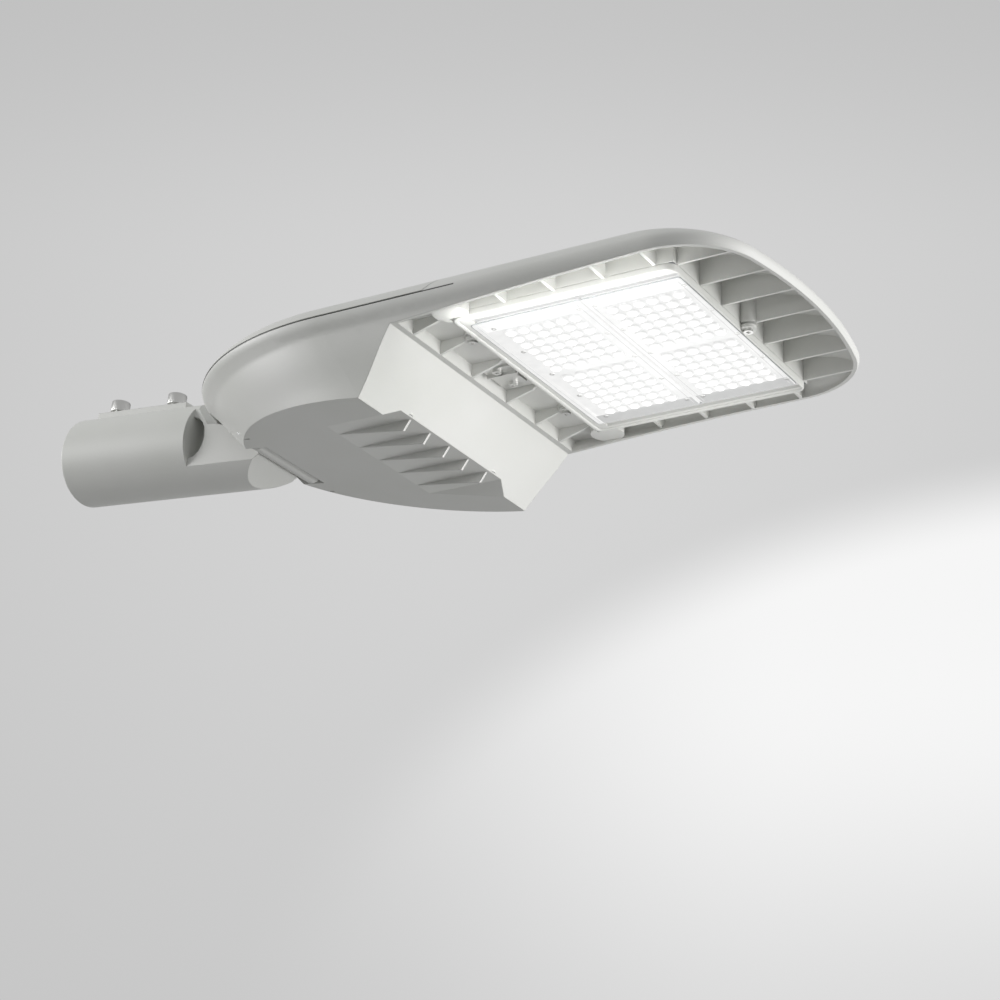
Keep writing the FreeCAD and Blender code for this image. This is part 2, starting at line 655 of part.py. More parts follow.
def housing_knuckles():
    half = size("knuckle_length") / 2
    places = [side * size("hinge_spread") / 2 for side in (1, -1)]
    return [knuckle(y - half, y + half, 1) for y in places]


def cover_knuckles():
    length = size("knuckle_length")
    start = length / 2 + size("knuckle_gap")
    found = []
    for side in (1, -1):
        y = side * size("hinge_spread") / 2
        found += [knuckle(y + start, y + start + length, -1), knuckle(y - start - length, y - start, -1)]
    return found


def hinge_bore(radius):
    """The hinge's bore across the whole head."""
    return rod(radius, 2 * REACH, (HINGE_X, -REACH, HINGE_Z), (0, 1, 0))


TRAY_SEAT = size("tray_seat")
TRAY_SCREW_XS = (size("tray_start") + size("tray_screw_margin"),
                 size("tray_start") + size("tray_length") - size("tray_screw_margin"))
TRAY_SCREWS = [(x, side * size("tray_screw_spread") / 2) for x in TRAY_SCREW_XS for side in (1, -1)]
SCREW_FIT = size("screw_fit")
COVER_SCREWS = [(size("cover_screw_x"), side * size("cover_screw_spread") / 2) for side in (1, -1)]
COVER_BOSS_DEPTH = 14.0
LENS_SCREW_XS = [BOX_REAR + size("screw_column_rear")]
LENS_SCREW_XS.append(LENS_SCREW_XS[0] + size("screw_column_span"))
LENS_SCREW_XS.append(LENS_SCREW_XS[1] + size("plate_gap"))
LENS_SCREW_XS.append(LENS_SCREW_XS[2] + size("screw_column_span"))
LENS_SCREW_YS = [row * size("screw_row_pitch") for row in range(-2, 3)]
LENS_BOSS_RADIUS = 2.5
LOCK_SCREW_START = size("barrel_radius") + size("lock_screw_gap")
LOCK_SCREW_YS = (size("lock_screw_spread") / 2, -size("lock_screw_spread") / 2)
LOCK_BOSS_RADIUS = 6.0
SADDLE_Y = (RECESS_HALF + size("floor_wall") + EAR_OUTER + EAR_WALL) / 2
SADDLE_SCREW_REACH = size("saddle_width") / 2 - size("small_head_radius")
SADDLE_SCREW_YS = [SADDLE_Y + SADDLE_SCREW_REACH, SADDLE_Y - SADDLE_SCREW_REACH]
BRACKET_HOLE_BACK, BRACKET_HOLE_MARGIN = 1.5, 4.0
BRACKET_SCREW_X = size("bracket_x") + size("bracket_length") / 2 - BRACKET_HOLE_BACK
BRACKET_SCREW_YS = [side * (size("bracket_width") / 2 - BRACKET_HOLE_MARGIN) for side in (1, -1)]


def housing_bosses():
    """Bosses for the tray, cover, lens and lock screws, and the pad that the gland goes through."""
    bosses = [upright_rod(size("tray_boss_radius"), x, y, max(keel_height(x), NOTCH_ROOF) + 1.0, TRAY_SEAT)
              for x, y in TRAY_SCREWS]
    bosses += [upright_rod(size("cover_boss_radius"), x, y, SEAM - COVER_BOSS_DEPTH, SEAM)
               for x, y in COVER_SCREWS]
    bosses += [upright_rod(LENS_BOSS_RADIUS, LENS_SCREW_XS[3], y, BOX_EDGE, BOARD_SEAT + 1.0)
               for y in LENS_SCREW_YS]
    lock_length = size("lock_screw_length") - 1.5
    bosses += [rod(LOCK_BOSS_RADIUS, lock_length, (RECESS_FRONT + 0.2, y, PIVOT_HEIGHT), (1, 0, 0))
               for y in LOCK_SCREW_YS]
    bosses.append(upright_rod(size("gland_boss_radius"), size("gland_x"), size("gland_y"),
                              size("gland_boss_low"), size("gland_boss_high")))
    return bosses


def housing_holes():
    """The pin's bore with its keeper slots, and every screw hole of the casting."""
    pin_end = size("pin_length") / 2
    slot = size("keeper_slot")
    keeper_x0 = size("keeper_start") - KEEPER_PLAY
    keeper_x1 = size("keeper_start") + size("keeper_width") + KEEPER_PLAY
    holes = [rod(size("pin_radius"), pin_end + REACH, (0, -pin_end, PIVOT_HEIGHT), (0, 1, 0))]
    for y in (EAR_OUTER, -EAR_OUTER - slot):
        holes.append(block(keeper_x0, keeper_x1, y, y + slot, FAR_BELOW, KEEPER_TOP + 0.3))
    frame_radius = size("frame_screw_radius") + SCREW_FIT
    frame_depth = FRAME_BACK + size("frame_screw_length") - 2.0
    holes += [upright_rod(frame_radius, x, y, LIP, frame_depth) for x, y in LUG_PLACES + [FRONT_SCREW]]
    small = size("small_screw_radius") + SCREW_FIT
    holes += [upright_rod(small, x, y, TRAY_SEAT - 4.5, TRAY_SEAT + 1.0) for x, y in TRAY_SCREWS]
    cover = size("cover_screw_radius") + size("cover_screw_clearance")
    cover_depth = SEAM - size("cover_screw_grip") - 1.0
    holes += [upright_rod(cover, x, y, cover_depth, SEAM + 1.0) for x, y in COVER_SCREWS]
    lens = size("lens_screw_radius") + SCREW_FIT
    lens_depth = size("lens_screw_length") + LED_PLANE + 1.0
    holes += [upright_rod(lens, x, y, FRAME_BACK - 1.0, lens_depth)
              for x in LENS_SCREW_XS for y in LENS_SCREW_YS]
    lock = size("lock_screw_radius") + SCREW_FIT
    holes += [rod(lock, 2 * size("lock_screw_length"), (LOCK_SCREW_START, y, PIVOT_HEIGHT), (1, 0, 0))
              for y in LOCK_SCREW_YS]
    holes.append(upright_rod(size("gland_thread_radius") + SCREW_FIT, size("gland_x"), size("gland_y"),
                             size("gland_boss_low") - 1.0, size("gland_boss_high") + 1.0))
    holes += [upright_rod(small, 0.0, y, size("ear_top") - 5.5, size("ear_top") + 1.0)
              for y in SADDLE_SCREW_YS]
    holes += [upright_rod(small, BRACKET_SCREW_X, y, size("trough_ceiling") - 1.0, SEAM - 2.0)
              for y in BRACKET_SCREW_YS]
    return holes


def frame_gasket_ring(inset, width, low, high):
    """A flat ring that follows the optic box's wall."""
    def within(margin):
        half = BOX_HALF - margin
        return block(BOX_REAR + margin, BOX_FRONT - margin, -half, half, low, high)

    return within(inset).cut(within(inset + width))


GROOVE_INSET, GROOVE_WIDTH, GROOVE_TOP = 0.7, 2.4, FRAME_BACK + 2.1


def frame_room():
    """What the optic's frame and its lugs take up, with a little play round them."""
    play = 0.3
    lug = size("frame_lug_radius") + play
    low = LED_PLANE - 5.0
    return [block(BOX_REAR - play, BOX_FRONT + play, -BOX_HALF - play, BOX_HALF + play, low, BOX_EDGE),
            upright_rod(lug, *FRONT_SCREW, low, FRONT_LUG_TOP + play)] + [
                upright_rod(lug, x, y, low, BOX_EDGE) for x, y in LUG_PLACES]


def lower_housing():
    """The one big casting: skin, compartment, notch, recess, rim with its ribs, and heat sink."""
    shell = skin_loft().cut(below_the_head())
    shell = shell.cut(cover_zone())
    shell = shell.cut(rim_space())
    shell = shell.cut(compartment_space())
    shell = shell.cut(notch())
    shell = shell.cut(neck_recess())
    wall = size("box_wall")
    shell = shell.cut(block(BOX_REAR + wall, BOX_FRONT - wall, -BOX_HALF + wall, BOX_HALF - wall,
                            LED_PLANE - 5.0, BOARD_SEAT))
    for slot in heat_sink_slots():
        shell = shell.cut(slot)
    shell = shell.multiFuse(notch_fins() + housing_bosses() + housing_knuckles())
    groove = seal_ring(size("gasket_inset"), size("gasket_width"), SEAM - size("gasket_groove"), SEAM + 1.0)
    shell = shell.cut(groove)
    shell = shell.cut(frame_gasket_ring(GROOVE_INSET, GROOVE_WIDTH, FRAME_BACK, GROOVE_TOP))
    for room in frame_room():
        shell = shell.cut(room)
    for hole in housing_holes():
        shell = shell.cut(hole)
    return shell.cut(hinge_bore(size("hinge_pin_radius") + size("pin_running_clearance")))


COVER_SEAT_RISE = 5.5


def top_cover():
    """The lid of the driver compartment, with a thick front lip, screw bosses and hinge knuckles."""
    gap = size("cover_gap")
    zone = cover_zone(gap)
    skin = skin_loft().common(zone)
    hollow = skin_loft(size("gasket_inset") + size("gasket_width"), size("shell_wall")).common(zone)
    lip_rear = COVER_FRONT - size("cover_front_wall")
    front_lip = side_profile([(lip_rear, SEAM), (FAR_FORE, SEAM), (FAR_FORE, FAR_ABOVE),
                              (lip_rear + COVER_LEAN * (FAR_ABOVE - SEAM), FAR_ABOVE)], -REACH, REACH)
    shell = skin.cut(hollow.cut(front_lip))
    bosses = [upright_rod(size("cover_boss_radius"), x, y, SEAM + gap, FAR_ABOVE).common(skin)
              for x, y in COVER_SCREWS]
    shell = shell.multiFuse(bosses + cover_knuckles())
    shank = size("cover_screw_radius") + SCREW_FIT
    for x, y in COVER_SCREWS:
        shell = shell.cut(upright_rod(shank, x, y, SEAM, FAR_ABOVE))
        shell = shell.cut(upright_rod(size("cover_head_radius") + 0.5, x, y, SEAM + COVER_SEAT_RISE,
                                      FAR_ABOVE))
    return shell.cut(hinge_bore(size("hinge_pin_radius")))


def pole_adaptor():
    """Cast socket for the mast arm, with its neck and the cross barrel of the tilt joint."""
    body = new_body("pole_adaptor")
    bore, wall = cell("pole_bore_radius"), cell("socket_wall")
    outer = bore + wall
    tube, neck_end = cell("tube_length"), cell("neck_end")
    beyond = neck_end + 2.0
    step(body, "Pad", "bar", "X", [("circle", 0.0, 0.0, outer)], 0.0, neck_end)
    dress(body, "Fillet", "mouth_edge", cell("mouth_round"),
          lambda edge: abs(edge.BoundBox.XMax) < 1e-6 and edge.Length > 6 * size("pole_bore_radius"))
    half_neck = cell("neck_width") * 0.5
    far = outer + 1.0
    for name, y0, y1 in (("side_cut", half_neck, far), ("other_side_cut", -far, -half_neck)):
        step(body, "Pocket", name, "Z", [box_outline(tube, beyond, y0, y1)], -far, far)
    pocket_height = cell("pocket_height")
    reach = cell("pocket_reach")
    lens = [(tube, -pocket_height)]
    for turn in range(-3, 4):
        share = math.sin(math.radians(90 * turn / 4))
        lens.append((tube + reach * math.sqrt(1 - share ** 2), pocket_height * share))
    lens.append((tube, pocket_height))
    step(body, "Pocket", "pocket", "Y", [("corners", lens)], -far, far)
    half_web = cell("web_width") * 0.5
    web = [(tube - 1.0, -pocket_height - 1.0), (tube + reach + 2.0, -pocket_height - 1.0),
           (tube + reach + 2.0, pocket_height + 1.0), (tube - 1.0, pocket_height + 1.0)]
    step(body, "Pad", "web", "Y", [("corners", web)], -half_web, half_web)
    drop = cell("pivot_drop")
    barrel = cell("barrel_radius")
    roof = [(tube - 4.0, far), (tube - 4.0, outer), (cell("roof_foot"), cell("roof_foot_height")),
            (cell("neck_top_start"), cell("neck_top")), (neck_end, barrel - drop), (beyond, barrel - drop),
            (beyond, far)]
    step(body, "Pocket", "roof_cut", "Y", [("corners", roof)], -far, far)
    bevel = [(cell("bevel_start"), -outer), (neck_end, cell("bevel_rise") - outer),
             (beyond, cell("bevel_rise") - outer), (beyond, -far), (cell("bevel_start"), -far)]
    step(body, "Pocket", "bevel_cut", "Y", [("corners", bevel)], -half_neck - 1.0, half_neck + 1.0)
    reach_x = cell("pivot_reach")
    half_barrel = cell("barrel_length") * 0.5
    step(body, "Pad", "barrel", "Y", [("circle", reach_x, -drop, barrel)], -half_barrel, half_barrel)
    dress(body, "Chamfer", "barrel_ends", cell("barrel_chamfer"),
          lambda edge: abs(abs(edge.BoundBox.YMin) - size("barrel_length") / 2) < 1e-6
          and abs(edge.BoundBox.YLength) < 1e-6)
    half_pad = cell("pad_width") * 0.5
    pad_start = cell("pad_start")
    pad_top = outer + cell("pad_height")
    pad = box_outline(pad_start, pad_start + cell("pad_length"), -half_pad, half_pad)
    step(body, "Pad", "screw_pad", "Z", [pad], bore, pad_top)
    step(body, "Pocket", "socket", "X", [("circle", 0.0, 0.0, bore)], -1.0, cell("socket_depth"))
    cable_hole = ("circle", 0.0, cell("cable_hole_height"), cell("cable_hole_radius"))
    step(body, "Pocket", "cable_hole", "X", [cable_hole], cell("socket_depth") - 1.0, cell("roof_foot"))
    pin_bore = ("circle", reach_x, -drop, cell("pin_radius") + cell("pin_running_clearance"))
    step(body, "Pocket", "pin_bore", "Y", [pin_bore], -half_barrel - 1.0, half_barrel + 1.0)
    first, pitch = cell("clamp_screw_first"), cell("clamp_screw_pitch")
    hole = cell("clamp_screw_radius") + cell("screw_fit")
    holes = [("circle", first, 0.0, hole), ("circle", first + pitch, 0.0, hole)]
    step(body, "Pocket", "screw_holes", "Z", holes, bore * 0.5, pad_top + 1.0)
    return keep(body, "pole_adaptor", "arm")


def pole_clamp_screws():
    seat = cell("pole_bore_radius") + cell("socket_wall") + cell("pad_height") + cell("clamp_head_gap")
    head = (cell("clamp_head_radius"), cell("clamp_head_height"))
    shank = (cell("clamp_screw_radius"), seat - cell("pole_bore_radius") - 0.5)
    first = cell("clamp_screw_first")
    screws = [screw(f"clamp_screw_{i + 1}", x, 0.0, seat, head, shank, head_below=False, socket=0.55)
              for i, x in enumerate((first, first + cell("clamp_screw_pitch")))]
    return group_of("pole_clamp_screws", screws, "arm")


def tilt_pin():
    body = new_body("tilt_pin")
    half = cell("pin_length") * 0.5
    height, radius = cell("pivot_height"), cell("pin_radius")
    step(body, "Pad", "shaft", "Y", [("circle", 0.0, height, radius)], -half, half)
    groove = box_outline(cell("keeper_start") - KEEPER_PLAY, radius + 1.0, height - radius - 1.0,
                         height + radius + 1.0)
    ear, slot = cell("ear_outer"), cell("keeper_slot")
    step(body, "Pocket", "keeper_groove", "Y", [groove], ear, ear + slot)
    step(body, "Pocket", "other_keeper_groove", "Y", [groove], -ear - slot, -ear)
    return keep(body, "tilt_pin")


def keeper(name, y0):
    """One flat keeper that stops the tilt pin from wandering."""
    obj = doc.addObject("Part::Box", name)
    low = cell("keeper_low")
    obj.setExpression("Length", "Sizes.keeper_width")
    obj.setExpression("Width", "Sizes.keeper_thickness")
    obj.setExpression("Height", (cell("pivot_height") + cell("pin_radius") - low).text)
    set_down(obj, cell("keeper_start"), y0, low, Rotation())
    return obj


def pin_keepers():
    spare = (cell("keeper_slot") - cell("keeper_thickness")) * 0.5
    ear = cell("ear_outer")
    return group_of("pin_keepers", [keeper("keeper_port", ear + spare),
                                    keeper("keeper_starboard", -ear - spare - cell("keeper_thickness"))])


def tilt_lock_screws():
    start = cell("barrel_radius") + cell("lock_screw_gap")
    screws = []
    for i, side in enumerate((0.5, -0.5)):
        y = cell("lock_screw_spread") * side
        pin = cylinder(f"lock_screw_{i + 1}_thread", cell("lock_screw_radius"), cell("lock_screw_length"),
                       start, y, cell("pivot_height"), "X")
        depth = cell("lock_screw_length") * 0.3
        key = hexagon(f"lock_screw_{i + 1}_socket", cell("lock_screw_radius") * 0.55, depth,
                      start + cell("lock_screw_length") - depth, y, cell("pivot_height"), "X")
        screws.append(cut(f"lock_screw_{i + 1}", pin, key))
    return group_of("tilt_lock_screws", screws)


def cover_gasket():
    """The silicone ring in the seam's groove, a little narrower than the groove."""
    play = 0.15
    inset = size("gasket_inset") + play
    width = size("gasket_width") - 2 * play
    ring = seal_ring(inset, width, SEAM - size("gasket_groove"), SEAM + size("gasket_lip"))
    return feature("cover_gasket", ring)


def cover_hinge_pins():
    length = cell("knuckle_length") * 3.0 + cell("knuckle_gap") * 2.0
    axis_x = cell("cover_front") + COVER_LEAN * (cell("crown_height") - cell("seam_height"))
    axis_z = cell("crown_height") + cell("hinge_rise")
    pins = []
    for i, side in enumerate((0.5, -0.5)):
        start = cell("hinge_spread") * side - length * 0.5
        radius = cell("hinge_pin_radius")
        pins.append(cylinder(f"hinge_pin_{i + 1}", radius, length, axis_x, start, axis_z, "Y"))
    return group_of("cover_hinge_pins", pins)


def cover_screws():
    seat = cell("seam_height") + COVER_SEAT_RISE
    head = (cell("cover_head_radius"), cell("cover_head_height"))
    shank = (cell("cover_screw_radius"), COVER_SEAT_RISE + cell("cover_screw_grip"))
    screws = [screw(f"cover_screw_{i + 1}", cell("cover_screw_x"), cell("cover_screw_spread") * side, seat,
                    head, shank, head_below=False, socket=0.5) for i, side in enumerate((0.5, -0.5))]
    return group_of("cover_screws", screws)


def led_frame():
    """Screwed frame round the optic, with two lugs behind and one at the tip."""
    body = new_body("led_frame")
    rear, front, half = cell("box_rear_x"), cell("box_front_x"), cell("box_half_width")
    low = cell("led_plane")
    back = low + cell("frame_thickness")
    side = half - cell("frame_side_border")
    step(body, "Pad", "plate", "Z", [box_outline(rear, front, -half, half)], low, back)
    dress(body, "Fillet", "corners", cell("frame_corner"), upright)
    rear_x, front_x = rear - LUG_REACH, front + FRONT_REACH

    def rear_pair(radius):
        return [("circle", rear_x, LUG_SPREAD, radius), ("circle", rear_x, -LUG_SPREAD, radius)]

    lug = cell("frame_lug_radius")
    step(body, "Pad", "rear_lugs", "Z", rear_pair(lug), back - cell("lug_thickness"), back)
    step(body, "Pad", "front_lug", "Z", [("circle", front_x, 0.0, lug)], low + FRONT_LUG_RISE,
         cell("lip_height") + FRONT_LUG_SEAT)
    window = box_outline(rear + cell("frame_rear_border"), front - cell("frame_front_border"), -side, side)
    step(body, "Pocket", "window", "Z", [window], low - 1.0, back + 1.0)
    hole = cell("frame_screw_radius") + cell("screw_fit")
    step(body, "Pocket", "screw_holes", "Z", rear_pair(hole) + [("circle", front_x, 0.0, hole)], low - 1.0,
         back + 1.0)
    return keep(body, "led_frame")


def frame_screws():
    head = (cell("small_head_radius"), cell("small_head_height"))
    rear, front = cell("box_rear_x") - LUG_REACH, cell("box_front_x") + FRONT_REACH
    back = cell("led_plane") + cell("frame_thickness")
    rear_seat = back - cell("lug_thickness")
    places = ((rear, LUG_SPREAD, rear_seat), (rear, -LUG_SPREAD, rear_seat),
              (front, 0.0, cell("led_plane") + FRONT_LUG_RISE))
    screws = []
    for i, (x, y, seat) in enumerate(places):
        shank = (cell("frame_screw_radius"), back + cell("frame_screw_length") - 4.0 - seat)
        screws.append(screw(f"frame_screw_{i + 1}", x, y, seat, head, shank, socket=0.5))
    return group_of("frame_screws", screws)


def frame_gasket():
    """The silicone ring between frame and optic box, with a little play in its groove."""
    play = 0.1
    ring = frame_gasket_ring(GROOVE_INSET + play, GROOVE_WIDTH - 2 * play, FRAME_BACK, GROOVE_TOP - play)
    return feature("frame_gasket", ring)


PLATFORM_LOW = LED_PLANE + size("platform_drop")
FLANGE_LOW = PLATFORM_LOW + size("platform_height")
FLANGE_TOP = FLANGE_LOW + size("flange_thickness")
PLAY = size("frame_play")
OPTIC_REAR = BOX_REAR + size("frame_rear_border") + PLAY
OPTIC_FRONT = BOX_FRONT - size("frame_front_border") - PLAY
OPTIC_HALF = BOX_HALF - size("frame_side_border") - PLAY
OPTIC_MIDDLE = (LENS_SCREW_XS[1] + LENS_SCREW_XS[2]) / 2
LENS_SIDES = 6
LENS_COLUMNS, LENS_ROWS = 6, 7


def lens_places(first_column):
    """Centres of one plate's lenses: two fields of six by seven between its screws."""
    centre_x = (LENS_SCREW_XS[first_column] + LENS_SCREW_XS[first_column + 1]) / 2
    return [(centre_x + (i - (LENS_COLUMNS - 1) / 2) * size("lens_pitch_x"),
             side * size("screw_row_pitch") + (j - (LENS_ROWS - 1) / 2) * size("lens_pitch_y"))
            for side in (-1, 1) for i in range(LENS_COLUMNS) for j in range(LENS_ROWS)]


def lens_blank():
    """One lens as a faceted cone, its base a little inside the plate."""
    def ring(radius, height):
        turns = [math.radians(360.0 * k / LENS_SIDES) for k in range(LENS_SIDES + 1)]
        return Part.makePolygon([Vector(radius * math.cos(t), radius * math.sin(t), height) for t in turns])
    base, tip = size("lens_radius"), size("lens_top_radius")
    return Part.makeLoft([ring(tip, PLATFORM_LOW - size("lens_height")), ring(base, PLATFORM_LOW),
                          ring(base, PLATFORM_LOW + 0.6)], True, True)


def lens_plate(first_column, x0, x1):
    """Moulded plate: recessed flange, raised platform, and its field of lenses."""
    half = size("platform_half_width")
    inset = 2.5
    flange = block(x0, x1, -OPTIC_HALF, OPTIC_HALF, FLANGE_LOW, FLANGE_TOP)
    ends = (x0 + (inset if first_column == 0 else 0.6), x1 - (0.6 if first_column == 0 else 0.8))
    platform = block(*ends, -half, half, PLATFORM_LOW, FLANGE_LOW)
    lens = lens_blank()
    lenses = [lens.translated(Vector(x, y, 0)) for x, y in lens_places(first_column)]
    plate = flange.multiFuse([platform] + lenses).removeSplitter()
    hole = size("lens_screw_radius") + SCREW_FIT
    for x in LENS_SCREW_XS[first_column:first_column + 2]:
        for y in LENS_SCREW_YS:
            plate = plate.cut(upright_rod(hole, x, y, PLATFORM_LOW - 1.0, FLANGE_TOP + 1.0))
    return plate


def lens_plates():
    gap = 0.3
    feature("lens_plate_rear", lens_plate(0, OPTIC_REAR, OPTIC_MIDDLE - gap))
    feature("lens_plate_front", lens_plate(2, OPTIC_MIDDLE + gap, OPTIC_FRONT))


BOARD_LOW = BOARD_SEAT - size("board_thickness")


def lens_gaskets():
    """A silicone ring inside each plate's screws, between plate and board."""
    inset, width = 2.6, 1.5
    half = LENS_SCREW_YS[-1] - inset
    rings = []
    for column in (0, 2):
        x0, x1 = LENS_SCREW_XS[column] + inset, LENS_SCREW_XS[column + 1] - inset
        outer = block(x0, x1, -half, half, FLANGE_TOP, BOARD_LOW)
        inner = block(x0 + width, x1 - width, -half + width, half - width, FLANGE_TOP, BOARD_LOW)
        rings.append(outer.cut(inner))
    return feature("lens_gaskets", Part.makeCompound(rings))


def led_boards():
    """Two aluminium circuit boards on the heat spreader, drilled for the lens screws."""
    margin = 4.5
    edge = BOX_HALF - size("box_wall") - 6.0
    front_limit = LENS_SCREW_XS[3] - LENS_BOSS_RADIUS - 1.0
    spans = {"led_board_rear": (LENS_SCREW_XS[0] - margin, LENS_SCREW_XS[1] + margin),
             "led_board_front": (LENS_SCREW_XS[2] - margin, front_limit)}
    for name, (x0, x1) in spans.items():
        body = new_body(name)
        seat = cell("board_seat")
        low = seat - cell("board_thickness")
        step(body, "Pad", "board", "Z", [box_outline(x0, x1, -edge, edge)], low, seat)
        holes = [("circle", x, y, cell("lens_screw_radius") + 0.4) for x in LENS_SCREW_XS if x0 < x < x1
                 for y in LENS_SCREW_YS]
        step(body, "Pocket", "screw_holes", "Z", holes, low - 1.0, seat + 1.0)
        keep(body, name)


def led_chips():
    """A square diode under every lens."""
    half = size("chip_size") / 2
    low = BOARD_LOW - size("chip_height")
    places = lens_places(0) + lens_places(2)
    chips = [block(x - half, x + half, y - half, y + half, low, BOARD_LOW) for x, y in places]
    return feature("led_chips", Part.makeCompound(chips))


def lens_screws():
    seat = cell("led_plane") + cell("platform_drop")
    head = (cell("lens_head_radius"), cell("lens_head_height"))
    shank = (cell("lens_screw_radius"), cell("lens_screw_length"))
    screws = [screw(f"lens_screw_{i + 1}_{j + 1}", x, y, seat, head, shank)
              for i, x in enumerate(LENS_SCREW_XS) for j, y in enumerate(LENS_SCREW_YS)]
    return group_of("lens_screws", screws)


def trough_bracket():
    """Small pressed plate under the gutter's ceiling, with a slot and two turned edges."""
    body = new_body("trough_bracket")
    x0, y0 = cell("bracket_x"), cell("bracket_width") * -0.5
    x1, y1 = x0 + cell("bracket_length"), cell("bracket_width") * 0.5
    top = cell("trough_ceiling")
    low = top - cell("bracket_plate")
    step(body, "Pad", "plate", "Z", [box_outline(x0, x1, y0, y1)], low, top)
    lip, lip_wall = cell("bracket_lip"), 1.4
    slot, slot_width, slot_margin = cell("bracket_slot_y"), 1.6, 4.0
    side_lip = box_outline(x0, x1, slot - 2.6, slot - 2.6 + lip_wall)
    step(body, "Pad", "side_lip", "Z", [side_lip], low - lip, low)
    front_lip = box_outline(x1 - lip_wall, x1, slot + 3.0, slot + 15.0)
    step(body, "Pad", "front_lip", "Z", [front_lip], low - lip, low)
    slot_outline = box_outline(x0 + slot_margin, x1 - slot_margin, slot, slot + slot_width)
    step(body, "Pocket", "slot", "Z", [slot_outline], low - 1.0, top + 1.0)
    hole = cell("small_screw_radius") + cell("screw_fit")
    x = x0 + cell("bracket_length") * 0.5 - BRACKET_HOLE_BACK
    spread = y1 - BRACKET_HOLE_MARGIN
    step(body, "Pocket", "screw_holes", "Z", [("circle", x, spread, hole), ("circle", x, -spread, hole)],
         low - 1.0, top + 1.0)
    return keep(body, "trough_bracket")


def bracket_screws():
    seat = cell("trough_ceiling") - cell("bracket_plate")
    x = cell("bracket_x") + cell("bracket_length") * 0.5 - BRACKET_HOLE_BACK
    spread = cell("bracket_width") * 0.5 - BRACKET_HOLE_MARGIN
    head, shank = small_screw(cell("bracket_plate") + 3.5)
    screws = [screw(f"bracket_screw_{i + 1}", x, spread * side, seat, head, shank, socket=0.5)
              for i, side in enumerate((1, -1))]
    return group_of("bracket_screws", screws)


def small_screw(length):
    """Head and shank of the small screws, with the shank's length."""
    return (cell("small_head_radius"), cell("small_head_height")), (cell("small_screw_radius"), length)


def driver_tray():
    """Folded plate that carries the control gear, on four bosses."""
    body = new_body("driver_tray")
    x0, half = cell("tray_start"), cell("tray_width") * 0.5
    x1 = x0 + cell("tray_length")
    low, sheet_metal = cell("tray_seat"), cell("tray_thickness")
    top = low + sheet_metal
    step(body, "Pad", "plate", "Z", [box_outline(x0, x1, -half, half)], low, top)
    for name, y0, y1 in (("lip", half - sheet_metal, half), ("other_lip", -half, sheet_metal - half)):
        step(body, "Pad", name, "Z", [box_outline(x0, x1, y0, y1)], low + 0.5, top + cell("tray_lip"))
    hole = cell("small_screw_radius") + cell("screw_fit")
    margin, spread = cell("tray_screw_margin"), cell("tray_screw_spread") * 0.5
    corners = [("circle", x, y, hole) for x in (x0 + margin, x1 - margin) for y in (spread, -spread)]
    step(body, "Pocket", "seat_holes", "Z", corners, low - 1.0, top + 1.0)
    driver = [("circle", x, y, hole) for x, y in driver_screw_places()]
    step(body, "Pocket", "driver_holes", "Z", driver, low - 1.0, top + 1.0)
    return keep(body, "driver_tray")


def driver_screw_places():
    start, flange = cell("driver_start"), cell("driver_flange") * 0.5
    side, width = cell("driver_side"), cell("driver_width")
    return [(x, y) for x in (start - flange, start + cell("driver_length") + flange)
            for y in (side + width * 0.25, side + width * 0.75)]


def tray_screws():
    seat = cell("tray_seat") + cell("tray_thickness")
    x0, margin, spread = cell("tray_start"), cell("tray_screw_margin"), cell("tray_screw_spread") * 0.5
    head, shank = small_screw(cell("tray_thickness") + cell("small_screw_bite"))
    places = [(x, y) for x in (x0 + margin, x0 + cell("tray_length") - margin) for y in (spread, -spread)]
    screws = [screw(f"tray_screw_{i + 1}", x, y, seat, head, shank, head_below=False)
              for i, (x, y) in enumerate(places)]
    return group_of("tray_screws", screws)


def led_driver():
    """The constant-current driver: a closed case with a fixing foot at each end."""
    body = new_body("led_driver")
    x0, length, foot = cell("driver_start"), cell("driver_length"), cell("driver_flange")
    y0, y1 = cell("driver_side"), cell("driver_side") + cell("driver_width")
    low = cell("tray_seat") + cell("tray_thickness")
    step(body, "Pad", "case", "Z", [box_outline(x0, x0 + length, y0, y1)], low, low + cell("driver_height"))
    dress(body, "Fillet", "case_edges", 2.0, upright)
    step(body, "Pad", "feet", "Z", [box_outline(x0 - foot, x0 + length + foot, y0 + 6.0, y1 - 6.0)], low,
         low + cell("driver_flange_height"))
    hole = cell("small_screw_radius") + cell("screw_fit")
    holes = [("circle", x, y, hole) for x, y in driver_screw_places()]
    step(body, "Pocket", "foot_holes", "Z", holes, low - 1.0, low + cell("driver_flange_height") + 1.0)
    return keep(body, "led_driver")


def driver_screws():
    seat = cell("tray_seat") + cell("tray_thickness") + cell("driver_flange_height")
    head, shank = small_screw(cell("driver_flange_height") + cell("tray_thickness") + 1.0)
    screws = [screw(f"driver_screw_{i + 1}", x, y, seat, head, shank, head_below=False)
              for i, (x, y) in enumerate(driver_screw_places())]
    return group_of("driver_screws", screws)


